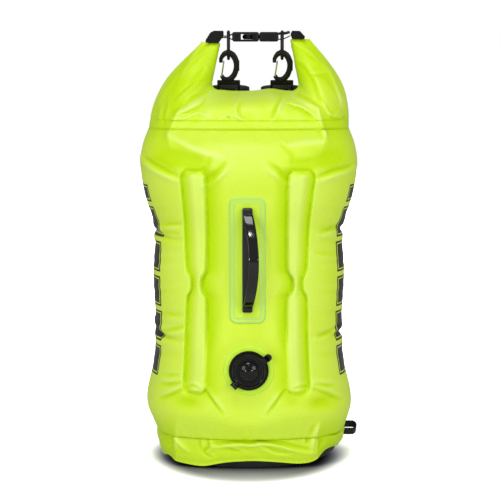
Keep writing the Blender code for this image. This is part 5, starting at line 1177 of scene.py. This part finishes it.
# Thumb grip on a hook's back: its ridges' number, spacing, size, and the lowest one's place
RIDGES, RIDGE_PITCH, RIDGE_SIZE = 7, 0.0021, (0.0014, 0.0050, 0.0011, 1)
RIDGE_X, RIDGE_Z, RIDGE_ROUNDING = 0.0143, -0.0065, 0.0003


def hook_place(side):
    """From a hook's own plane to its leaning place under the ring."""
    hang = Matrix.Translation((CLOSURE_X + side * HOOK_X, 0, HOOK_HANG))
    return hang @ Matrix.Rotation(HOOK_TILT, 4, "X") @ Matrix.Translation((0, 0, -HOOK_CROWN))


for side, word in SIDES:
    ridges = bmesh.new()
    for index in range(RIDGES):
        spot = Matrix.Translation((RIDGE_X, 0, RIDGE_Z + index * RIDGE_PITCH)) @ Matrix.Diagonal(RIDGE_SIZE)
        bmesh.ops.create_cube(ridges, size=1, matrix=hook_place(side) @ spot)
    bmesh.ops.bevel(ridges, geom=ridges.edges[:], offset=RIDGE_ROUNDING, segments=2, profile=0.5,
                    affect="EDGES", material=-1)
    hook_body = nodes[f"snap_hook_{word}"]["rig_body"]
    dress(f"hook_grip_{word}", ridges, acetal, body=hook_body, sharp=40)

# Shoulder pads
# Two padded straps: foam in black knitted mesh, bound all round with a folded tape that is sewn on,
# and hung from the snap hooks by short webbing loops.


# Shares of the body's half width, of its back depth and of its height down a pad's middle line
PAD_LINE = (
    (0.246, 0.310, 1.110), (0.247, 0.420, 1.117), (0.252, 0.575, 1.094), (0.270, 0.900, 1.020),
    (0.310, 1.190, 0.905), (0.360, 1.370, 0.750), (0.400, 1.380, 0.585), (0.430, 1.220, 0.420),
)
# A pad's half width, thickness, corner radius and half thickness at its edge
PAD_HALF, PAD_THICKNESS, PAD_CORNER, PAD_EDGE = 0.028, 0.009, 0.014, 0.0016
# The two sewn channels down a pad: how far out they stand, their depth and half width
CHANNEL_X, CHANNEL_DEPTH, CHANNEL_HALF = 0.0115, 0.0011, 0.0016
# How far the tape covers a pad's edge, and the tape's own width and thickness
TAPE_COVER, TAPE_WIDTH, TAPE_THICKNESS = 0.0012, 0.0046, 0.0050

# Knitted polyester mesh: dull cells about 2.4 mm across, as the real ones are, with dark holes
pad_mesh, tree, shader = principled("knitted_pad_mesh", Roughness=0.9, Sheen_Weight=0.25, Sheen_Roughness=0.5)
cloth = add_node(tree, "ShaderNodeUVMap", uv_map="cloth").outputs["UV"]
cells = add_node(tree, "ShaderNodeTexVoronoi", {
    "Vector": cloth, "Scale": 1000 / 2.381, "Randomness": 0.15,
}).outputs["Distance"]
knitted = add_node(tree, "ShaderNodeValToRGB", {"Fac": cells}, [
    (0, hex_to_linear("#0B0C0D")), (1, hex_to_linear("#212325")),
])
bump = add_node(tree, "ShaderNodeBump", {"Height": cells, "Strength": 0.7, "Distance": 0.0006})
connect(tree, shader, Base_Color=knitted.outputs["Color"], Normal=bump.outputs["Normal"])
binding_tape = woven_webbing("binding_tape", "#2A2C2F", "#1A1B1D", "#3C3F42")


def pad_points(side):
    """Points down the middle line of a pad."""
    rows = []
    for out, back, up in PAD_LINE:
        fade = float(smooth_step(up, 0.420, 1.0))
        rows.append((side * HALF_WIDTH * out + CLOSURE_X * fade, BACK_DEPTH * back, HIGH_WELD * up))
    return rows


def pad_half_width(along, length):
    """Half width of a pad, rounded in at both ends."""
    end = np.minimum(along, length - along)
    inside = np.clip(1 - end / PAD_CORNER, 0, 1)
    return PAD_HALF - PAD_CORNER * (1 - np.sqrt(np.maximum(1 - inside**2, 0.0)))


for side, word in SIDES:
    line = smooth_line(pad_points(side), 240)

    def pad_section(u, v, length):
        """Crowned foam that thins to its bound edge, with two sewn channels down its length."""
        c, s = np.cos(2 * math.pi * u), np.sin(2 * math.pi * u)
        along = v * length
        half = pad_half_width(along, length)
        a = half * signed_power(c, 0.75)
        end = np.minimum(along, length - along)
        crown = np.clip(1 - np.abs(a / PAD_HALF) ** 3.2, 0, 1) ** 0.7 * smooth_step(end, -0.002, 0.010)
        thick = PAD_EDGE + (PAD_THICKNESS / 2 - PAD_EDGE) * crown
        channels = CHANNEL_DEPTH * hill(np.abs(a), CHANNEL_X, CHANNEL_HALF)
        thick = thick - channels * smooth_step(end, 0.016, 0.024)
        b = thick * np.sign(s) * np.minimum(np.abs(s) * 3.0, 1.0) + 0.0002 * ripple(along, 71, 0.03, 0.01)
        return a, b, a

    bm = swept(line, (1, 0, 0), pad_section, 72, 200)
    pad = dress(f"pad_cushion_{word}", bm, pad_mesh, [f"shoulder_pad_{word}"])

    points, _, wide, thick = path_frames(line, (1, 0, 0))
    length = run_length(points)
    total = length[-1]
    inset = np.concatenate([
        np.linspace(0, PAD_CORNER, 20)[:-1], np.linspace(PAD_CORNER, total - PAD_CORNER, 90),
        np.linspace(total - PAD_CORNER, total, 20)[1:],
    ])
    half = pad_half_width(inset, total) - TAPE_COVER
    outline = []
    for at, reach in list(zip(inset, half)) + list(zip(inset[::-1], -half[::-1])):
        spot = [np.interp(at, length, points[:, k]) for k in range(3)]
        way = [np.interp(at, length, wide[:, k]) for k in range(3)]
        outline.append([p + w * reach for p, w in zip(spot, way)])
    outline.append(outline[0])
    ring = along_line(outline, np.linspace(0, 1, 500))
    near = [int(np.argmin(np.linalg.norm(points - spot, axis=1))) for spot in ring]
    normal = thick[near]
    bm = swept(ring, normal, flat_section(TAPE_WIDTH, TAPE_THICKNESS, 3.0), 16, 480, fill_ends=False)
    pad_body = nodes[f"shoulder_pad_{word}"]["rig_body"]
    dress(f"pad_binding_{word}", bm, binding_tape, body=pad_body)


# The gap between webbing and what it lies on, and the half sizes of the bar in a hook's eye
WEB_CLEARANCE, EYE_BAR_HALVES = 0.0003, (0.00256, 0.0016)


def local_frame(origin, along, width_axis):
    """Frame whose x is the band's width, y runs along it and z lies across it."""
    along = Vector(along).normalized()
    across = Vector(width_axis).cross(along).normalized()
    width = along.cross(across).normalized()
    return Matrix.Translation(Vector(origin)) @ Matrix((width, along, across)).transposed().to_4x4()


def webbing_loop(name, place, length, bar_radius, width, node):
    """Two close layers from a sewn end that part round a bar."""
    wrap = bar_radius + WEB_THICKNESS / 2 + WEB_CLEARANCE
    top = [(0.0, LAYER_RISE), (length - wrap * 1.7, LAYER_RISE), (length - wrap * 0.8, wrap * 0.86)]
    turn = [(math.sin(angle), math.cos(angle)) for angle in np.linspace(0, math.pi, 7)]
    loop = top + [(length + wrap * y, wrap * z) for y, z in turn] + [(y, -z) for y, z in reversed(top)]
    line = smooth_line([place @ Vector((0, y, z)) for y, z in loop], 120)
    bm = swept(line, place.to_3x3() @ Vector((1, 0, 0)), flat_section(width, WEB_THICKNESS), 40, 110)
    return dress(name, bm, webbing_black, [node])


HOOK_BAND_WIDTH = 0.0170
for side, word in SIDES:
    first = Vector(pad_points(side)[0])
    bar = hook_place(side) @ Vector((0, 0, EYE_BAR_Z))
    start = first + (bar - first).normalized() * 0.0006
    start.x = bar.x
    place = local_frame(start, bar - start, (1, 0, 0))
    radius = math.hypot(*EYE_BAR_HALVES)
    webbing_loop(f"hook_band_{word}", place, (bar - start).length, radius, HOOK_BAND_WIDTH,
                 f"hook_webbing_{word}")

# Lower straps
# Ladder locks hang from the pads on short loops, and thin webbing runs from them down to patches
# sewn at the back corners of the collar.


STRAP_WIDTH = 0.020
# A ladder lock's bar, slot and thickness, and the length of the loop that it hangs on
LOCK_BAR, LOCK_SLOT, LOCK_THICKNESS, LOOP_LENGTH = 0.0028, 0.0062, 0.0036, 0.0135
# Where a strap is anchored: its share of the collar's half width, its height, then how far below and
# above that height the strap lies on the patch
ANCHOR_SHARE, ANCHOR_Z, STRAP_DROP = 0.80, 0.036, 0.0084
# The patch: half width, half height, thickness at its edge and how much the stitching domes it
PATCH_HALF_WIDTH, PATCH_HALF_HEIGHT, PATCH_EDGE, PATCH_DOME = 0.013, 0.012, 0.0005, 0.0016
# The collar's size at its top as a share of the weld's oval
COLLAR_SHARE = SKIRT_SHARES[-1][1]
# The free tail of a strap beyond its ladder lock
STRAP_POINTS, TAIL_LENGTH = 320, 0.030


def back_corner(side):
    """Point and outward normal of the collar where a strap is anchored."""
    half_width, back = WELD_HALF * COLLAR_SHARE, WELD_BACK * COLLAR_SHARE
    rest = (1 - ANCHOR_SHARE**SQUARENESS) ** (1 / SQUARENESS)
    power = SQUARENESS - 1
    normal = Vector((side * ANCHOR_SHARE**power / half_width, rest**power / back, 0)).normalized()
    return Vector((side * half_width * ANCHOR_SHARE, back * rest, ANCHOR_Z)), normal


for side, word in SIDES:
    line = smooth_line(pad_points(side), 40)
    along = Vector(line[-1] - line[-2]).normalized()
    place = local_frame(Vector(line[-1]) + along * 0.0003, along, (1, 0, 0))
    radius = math.hypot(LOCK_BAR, LOCK_THICKNESS) / 2
    webbing_loop(f"pad_band_{word}", place, LOOP_LENGTH, radius, STRAP_WIDTH, f"pad_webbing_{word}")

    pitch = LOCK_BAR + LOCK_SLOT
    bar = LOOP_LENGTH + pitch
    wrap = radius + WEB_THICKNESS / 2 + WEB_CLEARANCE
    tail = [place @ Vector((0, bar + pitch + extra, -wrap)) for extra in (TAIL_LENGTH, 0.0)]
    angles = np.linspace(0, math.pi, 7)
    around = [place @ Vector((0, bar - wrap * math.sin(a), -wrap * math.cos(a))) for a in angles]
    leave = place @ Vector((0, bar + pitch * 1.4, wrap))
    foot, normal = back_corner(side)
    over = PATCH_EDGE + PATCH_DOME + WEB_CLEARANCE + WEB_THICKNESS / 2
    end = foot + normal * over
    end.z = foot.z - STRAP_DROP
    rise = end.copy()
    rise.z = foot.z + STRAP_DROP
    bend = LOW_WELD * 1.85
    clear = foot + normal * (over + float(body_sizes(np.array([bend]))[2][0]) * 0.17)
    clear.z = bend
    run = [leave, leave.lerp(clear, 0.5) + normal * LOCK_SLOT, clear, rise, end]
    points = smooth_line(tail + around + run, STRAP_POINTS)
    share = smooth_step(np.linspace(0, 1, STRAP_POINTS), 0.45, 0.88)[:, None]
    wide = np.array(place.to_3x3() @ Vector((1, 0, 0))) * (1 - share)
    wide = wide + np.array((normal.y, -normal.x, 0)) * share
    bm = swept(points, wide, flat_section(STRAP_WIDTH, WEB_THICKNESS), 36, 300)
    dress(f"lower_band_{word}", bm, webbing_black, [f"lower_webbing_{word}"])

    def anchor_place(u, v, foot=foot, normal=normal):
        """A patch with round corners, domed a little by the stitching."""
        a, b = (u - 0.5) * 2, (v - 0.5) * 2
        rim = np.clip(np.maximum(np.abs(a), np.abs(b)), 0, 1)
        flat = np.sqrt(1 - 0.10 * (a * b) ** 2)
        level = np.array((normal.y, -normal.x, 0.0))
        lift = PATCH_EDGE + PATCH_DOME * (1 - smooth_step(rim, 0.90, 1.0))
        points = np.array(foot) + level * (a * PATCH_HALF_WIDTH * flat)[:, None]
        points = points + np.array((0, 0, 1.0)) * (b * PATCH_HALF_HEIGHT * flat)[:, None]
        cloth = np.column_stack([a * PATCH_HALF_WIDTH, b * PATCH_HALF_HEIGHT])
        return points + np.array(normal) * lift[:, None], cloth

    bm = mapped_grid(40, 40, anchor_place)
    dress(f"anchor_patch_{word}", bm, webbing_black, [f"anchor_tab_{word}"])

# Tow loop
# A short loop of the same webbing, sewn to the right side of the collar a little behind its middle,
# where a tow line clips. It stands out and tips down, with a small eye.

# The loop's place behind the middle and over the ground, how far it reaches, and its tilt
TOW_Y, TOW_Z, TOW_REACH, TOW_TILT = 0.022, 0.0325, 0.0225, math.radians(51.5)
skin = WELD_HALF * COLLAR_SHARE * (1 - (TOW_Y / WELD_BACK) ** SQUARENESS) ** (1 / SQUARENESS)
# The loop starts where the leaning collar's own skin is, and its end is a half round
start, radius = skin + 0.0035, 0.0058
centre = start + TOW_REACH - radius - WEB_THICKNESS / 2
half = [(start, radius * 0.72), (start + radius * 0.9, radius * 0.96)]
angles = math.pi / 2 * (1 - np.arange(0, 5) / 5)
half += [(centre + radius * math.cos(angle), radius * math.sin(angle)) for angle in angles]
outline = half + [(centre + radius, 0.0)] + [(x, -y) for x, y in reversed(half)]
down, out = math.cos(TOW_TILT), math.sin(TOW_TILT)
line = smooth_line([(x, TOW_Y + y * down, TOW_Z + y * out) for x, y in outline], 160)
bm = swept(line, (0, -out, down), flat_section(STRAP_WIDTH, WEB_THICKNESS), 36, 150)
dress("tow_band", bm, webbing_black, ["tow_loop"])

# Grab handle
# A lime plastic patch is welded to the front; on it lies a black strip, and a glossy black strap
# is welded to the strip's two ends and bows out for the hand.

PATCH_SIZE = (0.0245, 0.0855, 0.0098)
# Height of the patch's rim line, of the dip inside it and of the second line, each with the distance
# from the patch's edge and the half width
PATCH_LINES = ((0.0006, 0.0016, 0.0009), (-0.0004, 0.0056, 0.0010), (0.0004, 0.0074, 0.0012))
# Distance from the patch's edge, as a share of the ring of 10 mm, then its colour: two pale weld lines
PATCH_RING = 0.010
PATCH_COLOURS = (
    (0.0, "#B6DE5C"), (0.06, "#AFDA68"), (0.22, "#AFDA68"), (0.36, "#BFE348"), (0.46, "#BDE24A"),
    (0.57, "#B0DA62"), (0.70, "#B0DA62"), (0.84, "#BEE33E"), (1.0, "#C2E638"),
)
# High-frequency welded film: a smooth lime plastic, greyer where the weld has pressed it
patch_film, tree, shader, _ = moulded(
    "welded_film", relief=(7.692, 2.0, 0.3, 0.0004), Roughness=0.34, Specular_IOR_Level=0.35,
)
cloth = add_node(tree, "ShaderNodeUVMap", uv_map="cloth").outputs["UV"]
split = add_node(tree, "ShaderNodeSeparateXYZ", {"Vector": cloth}).outputs
inwards = add_node(tree, "ShaderNodeMapRange", {"Value": split["X"], "From Max": PATCH_RING})
tint = add_node(tree, "ShaderNodeValToRGB", {"Fac": inwards.outputs["Result"]}, [
    (at, hex_to_linear(colour)) for at, colour in PATCH_COLOURS
])
connect(tree, shader, Base_Color=tint.outputs["Color"])


def rounded_square(u, v, half_width, half_height, corner):
    """A grid's points pressed into a rectangle with round corners, and their distance from its edge."""
    a, b = (u - 0.5) * 2, (v - 0.5) * 2
    x, z = a * half_width, b * half_height
    cut_x, cut_z = half_width - corner, half_height - corner
    over_x, over_z = np.maximum(np.abs(x) - cut_x, 0), np.maximum(np.abs(z) - cut_z, 0)
    both = (over_x > 0) & (over_z > 0)
    longest = np.maximum(over_x, over_z)
    scale = np.where(both, longest / np.maximum(np.hypot(over_x, over_z), 1e-9), 1.0)
    x = np.where(both, np.sign(x) * (cut_x + over_x * scale), x)
    z = np.where(both, np.sign(z) * (cut_z + over_z * scale), z)
    inside = np.where(both, corner - longest, np.minimum(half_width - np.abs(x), half_height - np.abs(z)))
    return x, z, np.maximum(inside, 0)


def patch_place(u, v):
    """The patch: a raised rim line near its edge and a flat field inside a second line."""
    x, z, inside = rounded_square(u, v, *PATCH_SIZE)
    lift = 0.0002 + 0.0011 * smooth_step(inside, 0.0, 0.0014)
    for height, inset, half in PATCH_LINES:
        lift += height * hill(inside, inset, half)
    y = front_skin(x + HANDLE_X, z + HANDLE_Z) - lift
    return np.column_stack([x + HANDLE_X, y, z + HANDLE_Z]), np.column_stack([inside, z])


dress("handle_film", mapped_grid(56, 130, patch_place), patch_film, ["handle_patch"])

STRIP_SIZE = (0.0070, 0.07125, 0.0030)
# Pressed rubber: black and even, with a fine grain that dulls it
strip_black, *_ = moulded(
    "strap_backing", clouds=(1.25, 2.0, "#0D0E0E", "#1B1D1D"), relief=(1.25, 2.0, 0.3, 0.0002),
    Roughness=0.42, Specular_IOR_Level=0.4,
)


def strip_place(u, v):
    """The strip: flat, with softly rounded long edges."""
    x, z, inside = rounded_square(u, v, *STRIP_SIZE)
    lift = 0.0012 + 0.0024 * smooth_step(inside, 0.0, 0.0011)
    y = front_skin(x + HANDLE_X, z + HANDLE_Z) - lift
    return np.column_stack([x + HANDLE_X, y, z + HANDLE_Z]), np.column_stack([x, z])


dress("handle_strip", mapped_grid(28, 160, strip_place), strip_black, ["handle_base"])

# Polished thermoplastic: deep black with sharp streaks of light
strap_gloss, *_ = moulded(
    "polished_strap", clouds=(16.67, 2.0, "#030403", "#0A0C08"), relief=(1.111, 1.0, 0.12, 0.0001),
    Roughness=0.09, Specular_IOR_Level=0.40, Coat_Weight=0.15, Coat_Roughness=0.05,
)

# The strap's run up the patch, how far it bows out and leans right, and its ends' lift off the skin
STRAP_RUN, STRAP_BOW, STRAP_LEAN, STRAP_LIFT = 0.1393, 0.031, 0.0085, 0.0057
GRIP_WIDTH, GRIP_THICKNESS, GRIP_POINTS = 0.0135, 0.0032, 200
along = np.linspace(0, 1, GRIP_POINTS)
rise = np.sin(math.pi * np.clip((along - 0.05) / 0.9, 0, 1)) ** 0.8
height = HANDLE_Z + STRAP_RUN * (along - 0.5)
under = front_skin(np.full(GRIP_POINTS, HANDLE_X), height)
line = np.column_stack([HANDLE_X + STRAP_LEAN * rise, under - STRAP_LIFT - STRAP_BOW * rise, height])
bm = swept(line, (1, 0, 0), flat_section(GRIP_WIDTH, GRIP_THICKNESS, 5.0), 40, 190)
dress("handle_grip", bm, strap_gloss, ["handle_strap"])

# Valve
# A screw-in inflation valve: a lime ring is welded to the skin, the black socket sits in it, and a
# hinged cap with a polished dome closes it.

# Angles of the lid's hinge and of its pull tab round the valve
HINGE_ANGLE, TAB_ANGLE = 225.0, 36.0
# Reach of the lid's underside and top over the skin, half width of its dome, and the dome's radius
LID_LOW, LID_TOP, DOME_HALF, DOME_BALL = 0.0077, 0.0101, 0.0128, 0.0200


def turned(profile, steps=120):
    """Turn a profile of (radius, reach) about the valve's axis; reach is towards the front."""
    bm = bmesh.new()
    centre = Vector((0, -VALVE_SEAT, VALVE_Z))
    verts = [bm.verts.new(centre + Vector((radius, -reach, 0))) for radius, reach in profile]
    edges = [bm.edges.new(pair) for pair in zip(verts, verts[1:])]
    bmesh.ops.spin(bm, geom=verts + edges, cent=centre, axis=(0, 1, 0), angle=2 * math.pi, steps=steps,
                   use_merge=True)
    bmesh.ops.remove_doubles(bm, verts=bm.verts, dist=1e-6)
    bmesh.ops.recalc_face_normals(bm, faces=bm.faces)
    return bm


def ray(degrees):
    """From a ray along +X at the origin to one at an angle round the valve's axis."""
    return Matrix.Translation((0, -VALVE_SEAT, VALVE_Z)) @ Matrix.Rotation(math.radians(-degrees), 4, "Y")


def ray_block(bm, degrees, start, end, width, low, high, radius):
    """Add a block with round edges on a ray of the valve."""
    size = Matrix.Diagonal((end - start, high - low, width, 1))
    spot = Matrix.Translation(((start + end) / 2, -(low + high) / 2, 0))
    made = bmesh.ops.create_cube(bm, size=1, matrix=ray(degrees) @ spot @ size)
    edges = list(dict.fromkeys(edge for vert in made["verts"] for edge in vert.link_edges))
    bmesh.ops.bevel(bm, geom=edges, offset=radius, segments=3, profile=0.5, affect="EDGES", material=-1)


flange = turned([
    (0.0224, 0.0003), (0.0224, 0.0012), (0.0290, 0.0013), (0.0312, 0.0016), (0.0328, 0.0013),
    (0.0338, 0.0007), (0.0340, 0.0002),
])
# Welded film again, in the flange's deeper lime
flange_film, *_ = moulded(
    "welded_ring_film", clouds=(6.667, 2.0, "#B8E42E", "#C6EE3A"), Roughness=0.34, Specular_IOR_Level=0.35,
)
dress("valve_ring", flange, flange_film, ["valve_flange"], sharp=40)

# Moulded polyamide: black with a soft shine and a faintly uneven face
valve_plastic, *_ = moulded(
    "valve_moulding", clouds=(3.333, 3.0, "#040504", "#0B0C0A"), relief=(3.333, 3.0, 0.25, 0.0003),
    Roughness=0.33, Specular_IOR_Level=0.2,
)
give_finish(valve_plastic, "valve_base", "valve_insert")

# Moulded silicone: grey, dull and soft
rubber, *_ = moulded(
    "grey_silicone", relief=(2.5, 2.0, 0.2, 0.0002), Roughness=0.55, Base_Color=hex_to_linear("#6E7372"),
)
give_finish(rubber, "valve_seal", "valve_flap")

# Polished plastic: black, with small clear glints of the lamps in its dome
cap_gloss, *_ = moulded(
    "polished_cap", clouds=(5.0, 2.0, "#020302", "#070805"), Roughness=0.11, Specular_IOR_Level=0.28,
    Coat_Weight=0.1, Coat_Roughness=0.05,
)

# Under the rim, over the two rings on top, and on to the dome's foot, as (radius, reach)
profile = [
    (0.0, LID_LOW - 0.0042), (0.0124, LID_LOW - 0.0042), (0.0136, LID_LOW - 0.0020), (0.0136, LID_LOW),
    (0.0222, LID_LOW), (0.0229, LID_LOW + 0.0007), (0.0229, LID_LOW + 0.0012), (0.0222, LID_TOP),
    (0.0212, LID_TOP + 0.0003), (0.0204, LID_TOP), (0.0198, LID_TOP - 0.0009), (0.0172, LID_TOP - 0.0011),
    (0.0166, LID_TOP - 0.0004), (0.0158, LID_TOP - 0.0004), (0.0152, LID_TOP - 0.0011),
    (0.0137, LID_TOP - 0.0009), (DOME_HALF, LID_TOP + 0.0004),
]
edge = math.asin(DOME_HALF / DOME_BALL)
for angle in np.linspace(edge, 0, 12)[1:]:
    bulge = DOME_BALL * (math.cos(angle) - math.cos(edge))
    profile.append((DOME_BALL * math.sin(angle), LID_TOP + 0.0004 + bulge))
cap = turned(profile)
ray_block(cap, TAB_ANGLE, start=0.0205, end=0.0335, width=0.0096, low=LID_LOW + 0.0003,
          high=LID_LOW + 0.0022, radius=0.0007)
tab_end = ray(TAB_ANGLE) @ Matrix.Translation((0.0322, -(LID_LOW + 0.0013), 0))
bmesh.ops.create_cone(cap, cap_ends=True, segments=40, radius1=0.0050, radius2=0.0044, depth=0.0018,
                      matrix=tab_end @ Matrix.Rotation(math.pi / 2, 4, "X"))
ray_block(cap, HINGE_ANGLE, start=0.0205, end=0.0278, width=0.0049, low=LID_LOW + 0.0006,
          high=LID_TOP - 0.0002, radius=0.0005)
knuckle = ray(HINGE_ANGLE) @ Matrix.Translation((0.0285, -(LID_LOW + 0.0012), 0))
bmesh.ops.create_cone(cap, cap_ends=True, segments=32, radius1=0.0019, radius2=0.0019, depth=0.0050,
                      matrix=knuckle)
dress("valve_lid", cap, cap_gloss, ["valve_cap"], sharp=32)
